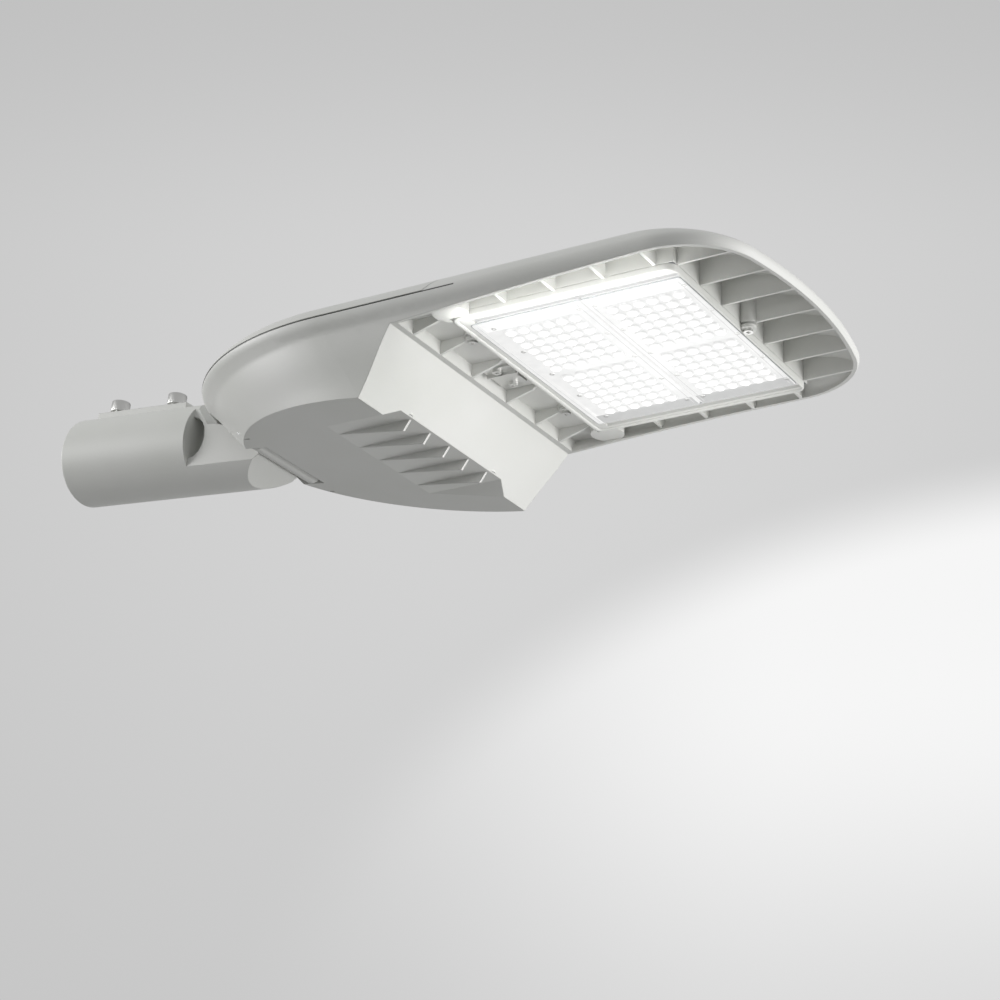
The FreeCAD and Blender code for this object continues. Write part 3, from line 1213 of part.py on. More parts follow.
def terminal_block():
    """Screw terminals in a row, with a wire entry and a screw well for each pole."""
    body = new_body("terminal_block")
    x0, y0 = cell("terminal_start"), cell("terminal_side")
    low = cell("tray_seat") + cell("tray_thickness")
    top = low + cell("terminal_height")
    pitch, depth = cell("terminal_pole_pitch"), cell("terminal_depth")
    poles = int(size("terminal_width") / size("terminal_pole_pitch"))
    well_radius, well_depth = 2.4, 7.0
    entry_low, entry_size = 4.0, 5.0
    step(body, "Pad", "case", "Z", [box_outline(x0, x0 + depth, y0, y0 + cell("terminal_width"))], low, top)
    ys = [y0 + pitch * (i + 0.5) for i in range(poles)]
    wells = [("circle", x0 + depth * 0.5, y, well_radius) for y in ys]
    step(body, "Pocket", "wells", "Z", wells, top - well_depth, top + 1.0)
    entry_floor = low + entry_low
    entries = [box_outline(y - entry_size / 2, y + entry_size / 2, entry_floor, entry_floor + entry_size)
               for y in ys]
    step(body, "Pocket", "entries", "X", entries, x0 - 1.0, x0 + entry_size)
    return keep(body, "terminal_block")


def boxed_unit(name, start, length, width, height, button):
    """A moulded control unit on the tray, with a raised part on its top."""
    body = new_body(name)
    y0 = cell("row_side")
    low = cell("tray_seat") + cell("tray_thickness")
    top = low + height
    step(body, "Pad", "case", "Z", [box_outline(start, start + length, y0, y0 + width)], low, top)
    dress(body, "Fillet", "case_edges", 1.5, upright)
    margin_x, margin_y, rise = button
    raised = box_outline(start + margin_x, start + length - margin_x, y0 + margin_y, y0 + width - margin_y)
    step(body, "Pad", "raised_top", "Z", [raised], top, top + rise)
    return keep(body, name)


def cable_gland():
    """Turned gland through the recess's roof, bored for the cable."""
    low, high = cell("gland_boss_low"), cell("gland_boss_high")
    x, y = cell("gland_x"), cell("gland_y")
    nose = cylinder("gland_dome", cell("gland_radius"), cell("gland_nose"), x, y, low - cell("gland_nose"))
    length = high - low + cell("gland_nut_height") + 1.5
    thread = cylinder("gland_thread", cell("gland_thread_radius"), length, x, y, low)
    bore_start = low - cell("gland_nose") - 1.0
    bore = cylinder("gland_bore", cell("cable_radius"), length + cell("gland_nose") + 2.0, x, y, bore_start)
    return keep(cut("cable_gland", fuse("gland_outside", nose, thread), bore), "cable_gland")


def gland_nut():
    x, y, high = cell("gland_x"), cell("gland_y"), cell("gland_boss_high")
    height = cell("gland_nut_height")
    outside = hexagon("gland_nut_body", cell("gland_nut_radius"), height, x, y, high)
    bore_radius = cell("gland_thread_radius") + cell("screw_fit") * 0.5
    bore = cylinder("gland_nut_bore", bore_radius, height + 2.0, x, y, high - 1.0)
    return keep(cut("gland_nut", outside, bore), "gland_nut")


def cable_clamp():
    """Saddle that holds the cable down on one ear of the housing."""
    body = new_body("cable_clamp")
    half_x, half_y = cell("saddle_length") * 0.5, cell("saddle_width") * 0.5
    low = cell("ear_top")
    top = low + cell("saddle_height")
    outline = box_outline(-half_x, half_x, SADDLE_Y - half_y, SADDLE_Y + half_y)
    step(body, "Pad", "saddle", "Z", [outline], low, top)
    arch = ("circle", SADDLE_Y, low, cell("cable_radius") + 0.6)
    step(body, "Pocket", "arch", "X", [arch], -half_x - 1.0, half_x + 1.0)
    hole = cell("small_screw_radius") + cell("screw_fit")
    holes = [("circle", 0.0, y, hole) for y in saddle_screw_ys()]
    step(body, "Pocket", "screw_holes", "Z", holes, low - 1.0, top + 1.0)
    return keep(body, "cable_clamp")


def saddle_screw_ys():
    """Places of the saddle's two screws, bound to the sheet."""
    reach = cell("saddle_width") * 0.5 - cell("small_head_radius")
    return [SADDLE_Y + reach, SADDLE_Y - reach]


def clamp_saddle_screws():
    seat = cell("ear_top") + cell("saddle_height")
    head, shank = small_screw(cell("saddle_height") + 5.0)
    screws = [screw(f"saddle_screw_{i + 1}", 0.0, y, seat, head, shank, head_below=False)
              for i, y in enumerate(saddle_screw_ys())]
    return group_of("clamp_saddle_screws", screws)


pole_adaptor()
pole_clamp_screws()
tilt_pin()
pin_keepers()
tilt_lock_screws()
feature("lower_housing", lower_housing())
feature("top_cover", top_cover())
cover_gasket()
cover_hinge_pins()
cover_screws()
led_frame()
frame_screws()
frame_gasket()
lens_plates()
lens_gaskets()
led_boards()
led_chips()
lens_screws()
trough_bracket()
bracket_screws()
driver_tray()
tray_screws()
led_driver()
driver_screws()
terminal_block()
boxed_unit("isolator_switch", cell("isolator_start"), cell("isolator_length"), cell("isolator_width"),
           cell("isolator_height"), (9.0, 4.0, 5.0))
boxed_unit("surge_protector", cell("surge_start"), cell("surge_length"), cell("surge_width"),
           cell("surge_height"), (6.0, 6.0, 2.0))
cable_gland()
gland_nut()
cable_clamp()
clamp_saddle_screws()
doc.recompute()


def check_and_write():
    """Nothing is written unless every object built and every sub-part is a valid, closed shape."""
    for obj in doc.Objects:
        if {"Invalid", "Error"} & set(obj.State):
            raise RuntimeError(f"{obj.Name} failed: {obj.State}")
    for node in nodes:
        shape = node.Shape
        if shape.isNull() or not shape.isValid() or not shape.Solids or shape.Volume <= 0:
            raise RuntimeError(f"{node.Label} has no valid solid")
    os.makedirs("parts", exist_ok=True)
    for node in nodes:
        node.Shape.exportStep(f"parts/{node.Label}.step")
        print(node.Label, len(node.Shape.Solids), "solids", round(node.Shape.Volume), "mm3")


check_and_write()
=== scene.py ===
# %% [markdown]
# # LED street light head, seen from below
# This lesson dresses the CAD model of a street light head. The head hangs level on a short pole arm,
# lit, and is looked at from the pavement. Each cell adds one finish or one finer piece, and prints
# what it made. Everything is in metres, so a size in millimetres is written as a number times MM.

# %% Load the frame
import math

import bpy
from mathutils import Matrix, Vector


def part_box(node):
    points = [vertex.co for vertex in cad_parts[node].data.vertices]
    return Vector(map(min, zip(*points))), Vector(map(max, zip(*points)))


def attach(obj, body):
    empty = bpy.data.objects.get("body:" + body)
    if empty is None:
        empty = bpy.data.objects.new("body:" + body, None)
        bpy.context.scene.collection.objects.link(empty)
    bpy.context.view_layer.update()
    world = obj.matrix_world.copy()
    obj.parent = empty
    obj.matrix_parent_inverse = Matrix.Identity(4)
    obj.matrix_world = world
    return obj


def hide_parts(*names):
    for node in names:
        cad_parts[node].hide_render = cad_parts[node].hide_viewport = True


MM = 0.001
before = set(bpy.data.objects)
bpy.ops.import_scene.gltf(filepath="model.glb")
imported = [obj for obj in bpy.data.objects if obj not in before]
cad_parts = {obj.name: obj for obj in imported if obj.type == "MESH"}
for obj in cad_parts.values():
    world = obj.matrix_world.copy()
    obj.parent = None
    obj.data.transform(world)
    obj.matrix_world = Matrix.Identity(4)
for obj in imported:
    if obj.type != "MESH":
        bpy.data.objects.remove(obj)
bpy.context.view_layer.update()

# %% [markdown]
# Colours are written as sRGB hex values, the way a paint chart gives them. Cycles works with linear
# light, so one function turns a hex value into linear numbers. A second small function adds a node
# to a material: it sets the node's own options, then fills its inputs with numbers or with links.
# A material could also be clicked together by hand, but in code it can be read, and made again.

# %% Helpers for every material
def linear(hex_colour):
    """An sRGB hex colour as linear red, green and blue, with full alpha."""
    parts = [int(hex_colour.lstrip("#")[i:i + 2], 16) / 255 for i in (0, 2, 4)]
    light = [c / 12.92 if c <= 0.04045 else ((c + 0.055) / 1.055) ** 2.4 for c in parts]
    return (*light, 1.0)


def add(tree, kind, options=None, inputs=None):
    """One node of a kind, with its options set and its inputs filled by value or by link."""
    node = tree.nodes.new(kind)
    for name, value in (options or {}).items():
        setattr(node, name, value)
    for name, value in (inputs or {}).items():
        socket = node.inputs[name]
        if isinstance(value, bpy.types.NodeSocket):
            tree.links.new(value, socket)
        else:
            socket.default_value = value
    return node


def new_material(name):
    """A node material that holds only a Principled shader and its output."""
    material = bpy.data.materials.new(name)
    material.use_nodes = True
    tree = material.node_tree
    tree.nodes.clear()
    shader = add(tree, "ShaderNodeBsdfPrincipled")
    add(tree, "ShaderNodeOutputMaterial", inputs={"Surface": shader.outputs["BSDF"]})
    return material, tree, shader


print("helpers ready: linear, add, new_material")

# %% [markdown]
# The casings are die-cast aluminium with a baked powder coat. The powder melts into a film with a
# soft orange-peel skin: waves about 1.5 mm long and some hundredths of a millimetre high. Under them
# lies a grain of about 0.3 mm, which is drawn at 0.45 mm, because it would be too fine to show. It is
# a paint, so it isn't metallic, and it is half matt: the eye sees broad, soft highlights and an even
# pale grey with the slightest cloudiness. A Bevel node rounds the sharp arrises of the CAD by the
# 0.8 mm that the casting tool and the coat leave, without touching the mesh.

# %% Sizes and colours of the powder coat
POWDER_GREY, POWDER_GREY_DEEP = "#D3D3D0", "#CBCCC7"
POWDER_ROUGHNESS, ROUGHNESS_DROP, ROUGHNESS_RISE = 0.46, 0.05, 0.07
LACQUER_IOR = 1.5
PEEL_LENGTH, PEEL_HEIGHT = 1.5 * MM, 0.03 * MM
GRAIN_LENGTH, GRAIN_HEIGHT = 0.45 * MM, 0.012 * MM
CLOUD_LENGTH = 90 * MM
GRAIN_SHARE = 0.35
ARRIS_RADIUS = 0.8 * MM
EDGE_SAMPLES = 4
print("powder coat from", POWDER_GREY, "to", POWDER_GREY_DEEP)

# %% [markdown]
# Between the lid and the housing is a shut line a few tenths of a millimetre wide, dark because no
# light gets into it. Seen from the ground the gap would vanish, so its shade is painted on the housing
# as a dark line 1.1 mm wide just under the lid's edge. It is drawn by height in the object's own space, and
# only on walls that face sideways, so that it stays put when the lid opens and leaves the gasket's seat
# alone.

# %% Painted shade of the lid's shut line
# painted shade: the colour of the dark line that stands for the shadow inside the lid's gap
SHUT_LINE_SHADE_COLOUR = "#343432"
SHUT_LINE_WIDTH, SHUT_LINE_DROP = 1.1 * MM, 0.9 * MM
SIDEWAYS_LIMIT = 0.7
lid_low, lid_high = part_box("top_cover")
shut_line_height = lid_low.z - SHUT_LINE_DROP


def with_painted_gap_shade(tree, place, paint):
    """The paint, with the shade of the lid's shut line painted as a narrow dark line round the housing."""
    parts = add(tree, "ShaderNodeSeparateXYZ", inputs={"Vector": place}).outputs
    facing = add(tree, "ShaderNodeTexCoord").outputs["Normal"]
    upward = add(tree, "ShaderNodeSeparateXYZ", inputs={"Vector": facing}).outputs["Z"]
    at_height = add(tree, "ShaderNodeMath", {"operation": "COMPARE"},
                    {0: parts["Z"], 1: shut_line_height, 2: SHUT_LINE_WIDTH / 2}).outputs[0]
    under_lid = add(tree, "ShaderNodeMath", {"operation": "LESS_THAN"},
                    {0: parts["X"], 1: lid_high.x}).outputs[0]
    sideways = add(tree, "ShaderNodeMath", {"operation": "COMPARE"},
                   {0: upward, 1: 0.0, 2: SIDEWAYS_LIMIT}).outputs[0]
    # painted shade: the mask where the gap's shadow is painted dark
    line = add(tree, "ShaderNodeMath", {"operation": "MULTIPLY"}, {0: at_height, 1: under_lid}).outputs[0]
    line = add(tree, "ShaderNodeMath", {"operation": "MULTIPLY"}, {0: line, 1: sideways}).outputs[0]
    return add(tree, "ShaderNodeMix", {"data_type": "RGBA"},
               {"Factor": line, "A": paint, "B": linear(SHUT_LINE_SHADE_COLOUR)}).outputs["Result"]


print("shut line at", round(shut_line_height * 1000, 1), "mm")

# %% [markdown]
# One function makes the coat, and it is called twice: plain for the castings, and with the painted shade
# of the shut line for the housing. Three noises of three sizes do the work. The widest clouds the colour, the
# finest varies colour and gloss, and the middle one is the orange peel, which only moves the normal.

# %% Powder-coated die-cast aluminium
def powder_coat(name, painted_gap_shade=False):
    """Baked powder on a casting, with the painted shade of the lid's shut line where it is asked for."""
    material, tree, shader = new_material(name)
    place = add(tree, "ShaderNodeTexCoord").outputs["Object"]
    cloud, grain, peel = (
        add(tree, "ShaderNodeTexNoise",
            inputs={"Vector": place, "Scale": 1 / wave, "Detail": detail}).outputs["Fac"]
        for wave, detail in ((CLOUD_LENGTH, 2.0), (GRAIN_LENGTH, 1.0), (PEEL_LENGTH, 2.0)))
    blend = add(tree, "ShaderNodeMath", {"operation": "MULTIPLY_ADD"},
                {0: grain, 1: GRAIN_SHARE, 2: cloud}).outputs[0]
    depth = add(tree, "ShaderNodeMapRange",
                inputs={"Value": blend, "From Min": 0.45, "From Max": 0.95}).outputs["Result"]
    paint = add(tree, "ShaderNodeMix", {"data_type": "RGBA"},
                {"Factor": depth, "A": linear(POWDER_GREY), "B": linear(POWDER_GREY_DEEP)}).outputs["Result"]
    # the shade of the lid's gap is painted into the housing's colour here
    if painted_gap_shade:
        paint = with_painted_gap_shade(tree, place, paint)
    tree.links.new(paint, shader.inputs["Base Color"])
    gloss = add(tree, "ShaderNodeMapRange",
                inputs={"Value": grain, "To Min": POWDER_ROUGHNESS - ROUGHNESS_DROP,
                        "To Max": POWDER_ROUGHNESS + ROUGHNESS_RISE}).outputs["Result"]
    tree.links.new(gloss, shader.inputs["Roughness"])
    normal = add(tree, "ShaderNodeBevel", {"samples": EDGE_SAMPLES},
                 {"Radius": ARRIS_RADIUS}).outputs["Normal"]
    for height, distance in ((peel, PEEL_HEIGHT), (grain, GRAIN_HEIGHT)):
        normal = add(tree, "ShaderNodeBump", inputs={"Height": height, "Distance": distance, "Strength": 1.0,
                                                     "Normal": normal}).outputs["Normal"]
    tree.links.new(normal, shader.inputs["Normal"])
    shader.inputs["IOR"].default_value = LACQUER_IOR
    return material


casting_coat = powder_coat("powder_coated_die_cast_aluminium")
housing_coat = powder_coat("powder_coated_aluminium_with_painted_gap_shade", painted_gap_shade=True)
print("made", casting_coat.name, "and", housing_coat.name)

# %% [markdown]
# Screws and pins are turned stainless steel; the tilt pin and the tray are zinc-plated steel. Both
# are bare metal: metallic, with the default IOR. Turning and rolling leave fine lines, which draw the
# highlight out across them, so the eye reads metal at once. Noise squeezed along one axis gives such
# lines without a picture. The real ones are about 0.1 mm apart; they are drawn at 0.5 to 0.8 mm,
# coarse enough to show, with little contrast so that they don't look like stripes of paint.

# %% Bare metals
TOOL_LINE_HEIGHT = 0.004 * MM
GLOSS_DROP, GLOSS_RISE = 0.06, 0.08


def drawn_metal(name, colour, dark_colour, roughness, line_length, squeeze):
    """Bare metal with tool lines: the noise is squeezed along the axes with a large number."""
    material, tree, shader = new_material(name)
    place = add(tree, "ShaderNodeTexCoord").outputs["Object"]
    stretched = add(tree, "ShaderNodeMapping", inputs={"Vector": place, "Scale": squeeze}).outputs["Vector"]
    lines = add(tree, "ShaderNodeTexNoise",
                inputs={"Vector": stretched, "Scale": 1 / line_length, "Detail": 3.0}).outputs["Fac"]
    tint = add(tree, "ShaderNodeMix", {"data_type": "RGBA"},
               {"Factor": lines, "A": linear(dark_colour), "B": linear(colour)})
    tree.links.new(tint.outputs["Result"], shader.inputs["Base Color"])
    gloss = add(tree, "ShaderNodeMapRange",
                inputs={"Value": lines, "To Min": roughness - GLOSS_DROP, "To Max": roughness + GLOSS_RISE})
    tree.links.new(gloss.outputs["Result"], shader.inputs["Roughness"])
    skin = add(tree, "ShaderNodeBump",
               inputs={"Height": lines, "Distance": TOOL_LINE_HEIGHT, "Strength": 1.0})
    tree.links.new(skin.outputs["Normal"], shader.inputs["Normal"])
    shader.inputs["Metallic"].default_value = 1.0
    return material


stainless = drawn_metal("turned_stainless_steel", "#D6D6D4", "#CACAC8", 0.3, 0.5 * MM, (1.0, 1.0, 6.0))
zinc_plate = drawn_metal("zinc_plated_steel", "#D2D3D1", "#B4B7B8", 0.34, 0.8 * MM, (0.15, 3.0, 1.0))
print("made", stainless.name, "and", zinc_plate.name)

# %% [markdown]
# The gaskets are extruded silicone: dull, dark and a little soft at the edges, so they read as
# rubber. The boxes inside are moulded: grey ABS for the driver's shell, white polyamide for the
# terminal block, the switch and the surge protector, and black polyamide for the cable gland. A
# moulding tool is spark-eroded, which leaves a grain of about 0.1 mm. It is drawn 0.4 mm wide, so that
# it shows, and it keeps the plastic from looking like painted metal.

# %% Moulded plastics and silicone
MOULDED_EDGE, GRAIN_WIDTH, GASKET_GRAIN = 0.5 * MM, 0.4 * MM, 1.2 * MM


def moulded(name, colour, shade, roughness, grain_length, grain_height):
    """A moulded or extruded material with a fine grain and soft edges."""
    material, tree, shader = new_material(name)
    place = add(tree, "ShaderNodeTexCoord").outputs["Object"]
    grain = add(tree, "ShaderNodeTexNoise",
                inputs={"Vector": place, "Scale": 1 / grain_length, "Detail": 2.0}).outputs["Fac"]
    tint = add(tree, "ShaderNodeMix", {"data_type": "RGBA"},
               {"Factor": grain, "A": linear(colour), "B": linear(shade)})
    tree.links.new(tint.outputs["Result"], shader.inputs["Base Color"])
    edges = add(tree, "ShaderNodeBevel", {"samples": EDGE_SAMPLES},
                {"Radius": MOULDED_EDGE}).outputs["Normal"]
    skin = add(tree, "ShaderNodeBump", inputs={"Height": grain, "Distance": grain_height, "Strength": 1.0,
                                               "Normal": edges})
    tree.links.new(skin.outputs["Normal"], shader.inputs["Normal"])
    shader.inputs["Roughness"].default_value = roughness
    shader.inputs["IOR"].default_value = LACQUER_IOR
    return material


silicone = moulded("extruded_silicone", "#6E7172", "#626566", 0.62, GASKET_GRAIN, 0.02 * MM)
pale_silicone = moulded("extruded_pale_silicone", "#A4A7A7", "#9A9D9D", 0.6, GASKET_GRAIN, 0.01 * MM)
grey_abs = moulded("moulded_grey_abs", "#BDBDB9", "#B2B2AE", 0.5, GRAIN_WIDTH, 0.01 * MM)
white_polyamide = moulded("moulded_white_polyamide", "#E2E2DD", "#DADAD4", 0.42, GRAIN_WIDTH, 0.01 * MM)
black_polyamide = moulded("moulded_black_polyamide", "#25272A", "#2C2E31", 0.48, GRAIN_WIDTH, 0.012 * MM)
print("made five moulded materials")

# %% [markdown]
# The LED boards are aluminium plates with white solder resist, a thin glossy lacquer that throws the
# light back out. Each chip is a small block of yellow phosphor under clear silicone that glows. The
# glow is the same all over a chip, so it is set on the shader's own emission sockets.

# %% Solder resist and phosphor
CHIP_GLOW = 6.0
solder_resist = moulded("white_solder_resist", "#F0F1EE", "#E6E7E3", 0.3, 2.5 * MM, 0.004 * MM)
phosphor = moulded("glowing_phosphor", "#FFF3C4", "#FFE9A6", 0.45, 0.6 * MM, 0.004 * MM)
phosphor_shader = next(n for n in phosphor.node_tree.nodes if n.type == "BSDF_PRINCIPLED")
phosphor_shader.inputs["Emission Color"].default_value = linear("#FFF8E4")
phosphor_shader.inputs["Emission Strength"].default_value = CHIP_GLOW
print("made", solder_resist.name, "and", phosphor.name)

# %% [markdown]
# Every CAD node takes its finish through its own material slots, because its mesh is never changed.
# The table names the finish of each node, so a node that was forgotten shows up in the print. The two
# lens plates are left over: the next cells replace them with finer ones.

# %% Finish of each CAD node
FINISHES = {
    housing_coat: ["lower_housing"],
    casting_coat: ["top_cover", "pole_adaptor", "led_frame"],
    stainless: ["pole_clamp_screws", "tilt_lock_screws", "cover_screws", "frame_screws", "lens_screws",
                "cover_hinge_pins", "bracket_screws", "trough_bracket", "pin_keepers"],
    zinc_plate: ["tilt_pin", "driver_tray", "tray_screws", "driver_screws", "clamp_saddle_screws"],
    silicone: ["cover_gasket", "frame_gasket", "lens_gaskets"],
    grey_abs: ["led_driver"],
    white_polyamide: ["terminal_block", "isolator_switch", "surge_protector"],
    black_polyamide: ["cable_gland", "gland_nut", "cable_clamp"],
    solder_resist: ["led_board_rear", "led_board_front"],
    phosphor: ["led_chips"],
}

finished = set()
for finish, names in FINISHES.items():
    for name in names:
        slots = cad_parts[name].data.materials
        slots.clear()
        slots.append(finish)
        finished.add(name)
print("CAD nodes without a finish yet:", sorted(set(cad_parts) - finished))

# %% [markdown]
# The optic is two plates moulded in clear acrylic, each with two fields of small lenses that spread
# the light along the road. In the CAD the lenses are six-sided cones. From the ground they are what
# the eye goes to first, so they are made again here as smooth domes. The pitches and places are those
# of the CAD, measured from the rear edge of the optic's frame.

# %% Sizes of the optic
LENS_PITCH_X, LENS_PITCH_Y = 11.0 * MM, 11.6 * MM
LENS_COLUMNS, LENS_ROWS = 6, 7
LENS_RADIUS, LENS_HEIGHT = 5.3 * MM, 2.3 * MM
FIELD_OFFSET = 44.8 * MM
LAND_HALF = 101.5 * MM
FRAME_REAR_BORDER, FRAME_PLAY = 13.5 * MM, 0.4 * MM
SCREW_COLUMNS = [x * MM for x in (22.5, 95.4, 109.0, 181.9)]
FIELD_CENTRES = {"lens_plate_rear": sum(SCREW_COLUMNS[:2]) / 2,
                 "lens_plate_front": sum(SCREW_COLUMNS[2:]) / 2}
plates = {name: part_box(name) for name in FIELD_CENTRES}
frame_low, frame_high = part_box("led_frame")
OPTIC_X = plates["lens_plate_rear"][0].x - FRAME_REAR_BORDER - FRAME_PLAY
PLATE_FACE = frame_low.z - 0.6 * MM
LIP_START = OPTIC_X + 9.2 * MM
for name, (low, high) in plates.items():
    print(name, [round(v * 1000, 1) for v in (*low, *high)])

# %% [markdown]
# All the new pieces are meshes written point by point. Three helpers save repeating: one makes the
# object, gives it its material and lets it ride on a body; one joins rings of points with faces,
# as a lathe or a loft does; and one lays points round a rectangle with rounded corners.

# %% Mesh helpers
def make_piece(name, points, faces, material, body, replaced=(), smooth_angle=50.0):
    """A mesh object that rides on a body, with smooth shading up to an angle in degrees."""
    mesh = bpy.data.meshes.new(name)
    mesh.from_pydata(points, [], faces)
    mesh.validate()
    mesh.shade_smooth()
    mesh.set_sharp_from_angle(angle=math.radians(smooth_angle))
    mesh.materials.append(material)
    piece = bpy.data.objects.new(name, mesh)
    bpy.context.scene.collection.objects.link(piece)
    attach(piece, body)
    if replaced:
        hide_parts(*replaced)
    return piece


def rings_to_faces(first, rings, sides, flipped=False):
    """Faces between rings of equally many points, as in a lathe."""
    quads = [(first + r * sides + k, first + r * sides + (k + 1) % sides,
              first + (r + 1) * sides + (k + 1) % sides, first + (r + 1) * sides + k)
             for r in range(rings - 1) for k in range(sides)]
    return [(b, a, d, c) for a, b, c, d in quads] if flipped else quads


def rounded_loop(x0, x1, y0, y1, corner, turns):
    """Points round a rectangle with rounded corners, with the outward direction at each."""
    loop = []
    for cx, cy, start in ((x1 - corner, y1 - corner, 0), (x0 + corner, y1 - corner, 90),
                          (x0 + corner, y0 + corner, 180), (x1 - corner, y0 + corner, 270)):
        for k in range(turns + 1):
            turn = math.radians(start + 90 * k / turns)
            ux, uy = math.cos(turn), math.sin(turn)
            loop.append((cx + corner * ux, cy + corner * uy, ux, uy))
    return loop


print("helpers ready: make_piece, rings_to_faces, rounded_loop")

# %% [markdown]
# A flat moulding is never a sharp block: its lower edge is softened by the tool. A slab is four rings
# of the same rounded rectangle, straight down the wall and then drawn in round the edge.

# %% A moulded slab
SLAB_TURNS, EDGE_SHOULDER = 6, 0.3


def rounded_slab(x0, x1, y0, y1, low, high, edge, corner):
    """A plate with rounded corners and a softened lower edge, as points and faces."""
    loop = rounded_loop(x0, x1, y0, y1, corner, SLAB_TURNS)
    shoulder = edge * EDGE_SHOULDER
    points = [(x - ux * inset, y - uy * inset, z)
              for inset, z in ((0.0, high), (0.0, low + edge), (shoulder, low + shoulder), (edge, low))
              for x, y, ux, uy in loop]
    count = len(loop)
    faces = rings_to_faces(0, 4, count, flipped=True)
    faces.append(tuple(range(count)))
    faces.append(tuple(reversed(range(3 * count, 4 * count))))
    return points, faces


print("helper ready: rounded_slab")

# %% [markdown]
# Lit acrylic could be real glass with lamps behind it, but that needs many samples and turns to
# noise. Instead the surface glows by itself, from a value called glow that is kept on every
# point of the mesh: the share of the brightest crown's light that comes out there. Under the glow it
# is still acrylic, glossy and with its IOR of 1.49, so it mirrors the room at a low angle. A slow drift
# of 9 mm breaks the evenness, as the flow of the melt does.

# %% Acrylic that glows from the chips behind it
CROWN_STRENGTH = 1.2
ACRYLIC_IOR, ACRYLIC_ROUGHNESS = 1.49, 0.14
FLOW_LENGTH, FLOW_DRIFT = 9 * MM, 0.04
acrylic, acrylic_tree, acrylic_shader = new_material("moulded_clear_acrylic_lit")
glow = add(acrylic_tree, "ShaderNodeAttribute", {"attribute_name": "glow"}).outputs["Fac"]
melt_place = add(acrylic_tree, "ShaderNodeTexCoord").outputs["Object"]
flow = add(acrylic_tree, "ShaderNodeTexNoise",
           inputs={"Vector": melt_place, "Scale": 1 / FLOW_LENGTH, "Detail": 2.0}).outputs["Fac"]
drift = add(acrylic_tree, "ShaderNodeMapRange",
            inputs={"Value": flow, "From Min": 0.3, "From Max": 0.7, "To Min": 1 - FLOW_DRIFT,
                    "To Max": 1 + FLOW_DRIFT}).outputs["Result"]
level = add(acrylic_tree, "ShaderNodeMath", {"operation": "MULTIPLY"}, {0: glow, 1: drift}).outputs[0]
strength = add(acrylic_tree, "ShaderNodeMath", {"operation": "MULTIPLY"},
               {0: level, 1: CROWN_STRENGTH}).outputs[0]
acrylic_tree.links.new(strength, acrylic_shader.inputs["Emission Strength"])
# painted light: the acrylic's base colour is paler where the glow is higher
glow_painted_tint = add(acrylic_tree, "ShaderNodeMix", {"data_type": "RGBA"},
                {"Factor": glow, "A": linear("#626464"), "B": linear("#787A7A")}).outputs["Result"]
acrylic_tree.links.new(glow_painted_tint, acrylic_shader.inputs["Base Color"])
acrylic_shader.inputs["Emission Color"].default_value = linear("#FFFEFD")
acrylic_shader.inputs["Roughness"].default_value = ACRYLIC_ROUGHNESS
acrylic_shader.inputs["IOR"].default_value = ACRYLIC_IOR
print("made", acrylic.name)

# %% [markdown]
# One lens is an oblong dome with a shallow dimple in its crown, which throws the light out to both
# sides. It is turned ring by ring. Each ring has its share of the radius, its share of the height
# and its glow: the crown is full bright, and the foot is dimmer, so that the eye sees rows of white
# blobs and not one white sheet.

# %% One lens, turned ring by ring
DOME_SIDES = 20
STRETCH_X, STRETCH_Y = 0.92, 1.04
DOME_RINGS = ((1.0, 0.0, 0.48), (0.97, 0.34, 0.5), (0.86, 0.66, 0.58), (0.66, 0.9, 0.8),
              (0.42, 1.0, 1.0), (0.2, 0.93, 1.0), (0.04, 0.88, 1.0))


def dome(x, y, z, first):
    """Points, faces and glow of one oblong lens that hangs below the height z."""
    points, light = [], []
    for share, drop, ring_glow in DOME_RINGS:
        for k in range(DOME_SIDES):
            turn = 2 * math.pi * k / DOME_SIDES
            points.append((x + STRETCH_X * LENS_RADIUS * share * math.cos(turn),
                           y + STRETCH_Y * LENS_RADIUS * share * math.sin(turn), z - LENS_HEIGHT * drop))
            light.append(ring_glow)
    faces = rings_to_faces(first, len(DOME_RINGS), DOME_SIDES, flipped=True)
    last = first + (len(DOME_RINGS) - 1) * DOME_SIDES
    faces.append(tuple(range(last + DOME_SIDES - 1, last - 1, -1)))
    return points, faces, light


print("a lens has", len(DOME_RINGS) * DOME_SIDES, "points")

# %% [markdown]
# A plate is layers of clear acrylic: the flange that fills the frame, a raised land with the screws, a
# thin mat under each field of lenses, a strip beside it and two ridges across. The rear one has a lip that
# lies over the frame. Each layer sinks a little into the one before, so no gap opens between them.
# The near strip glows brighter than the far one: painted glare of what leaves the lenses towards the eye.

# %% Layers of a plate
FLANGE_THICKNESS, PLATE_EDGE = 2.5 * MM, 0.5 * MM
FLANGE_CORNER, LAND_CORNER, LIP_CORNER = 1.5 * MM, 1.2 * MM, 2.5 * MM
JOINT_HALF, FRONT_INSET, REAR_INSET = 0.6 * MM, 0.8 * MM, 0.2 * MM
LAND_SINK, LAYER_SINK = 0.3 * MM, 0.1 * MM
LIP_OVERLAP, LIP_EDGE = 3.0 * MM, 0.3 * MM
MAT_MARGIN_X, MAT_MARGIN_Y, MAT_RISE, MAT_CORNER = 0.7 * MM, 0.9 * MM, 0.15 * MM, 4.0 * MM
STRIP_GAP, STRIP_INSET, STRIP_RISE, STRIP_CORNER = 0.6 * MM, 0.8 * MM, 0.08 * MM, 1.0 * MM
STRIP_START = {"lens_plate_rear": 5.5 * MM, "lens_plate_front": 1.0 * MM}
STRIP_END = 1.0 * MM
RIDGE_WIDTH, RIDGE_RISE, RIDGE_INSET = 0.7 * MM, 0.25 * MM, 3.2 * MM
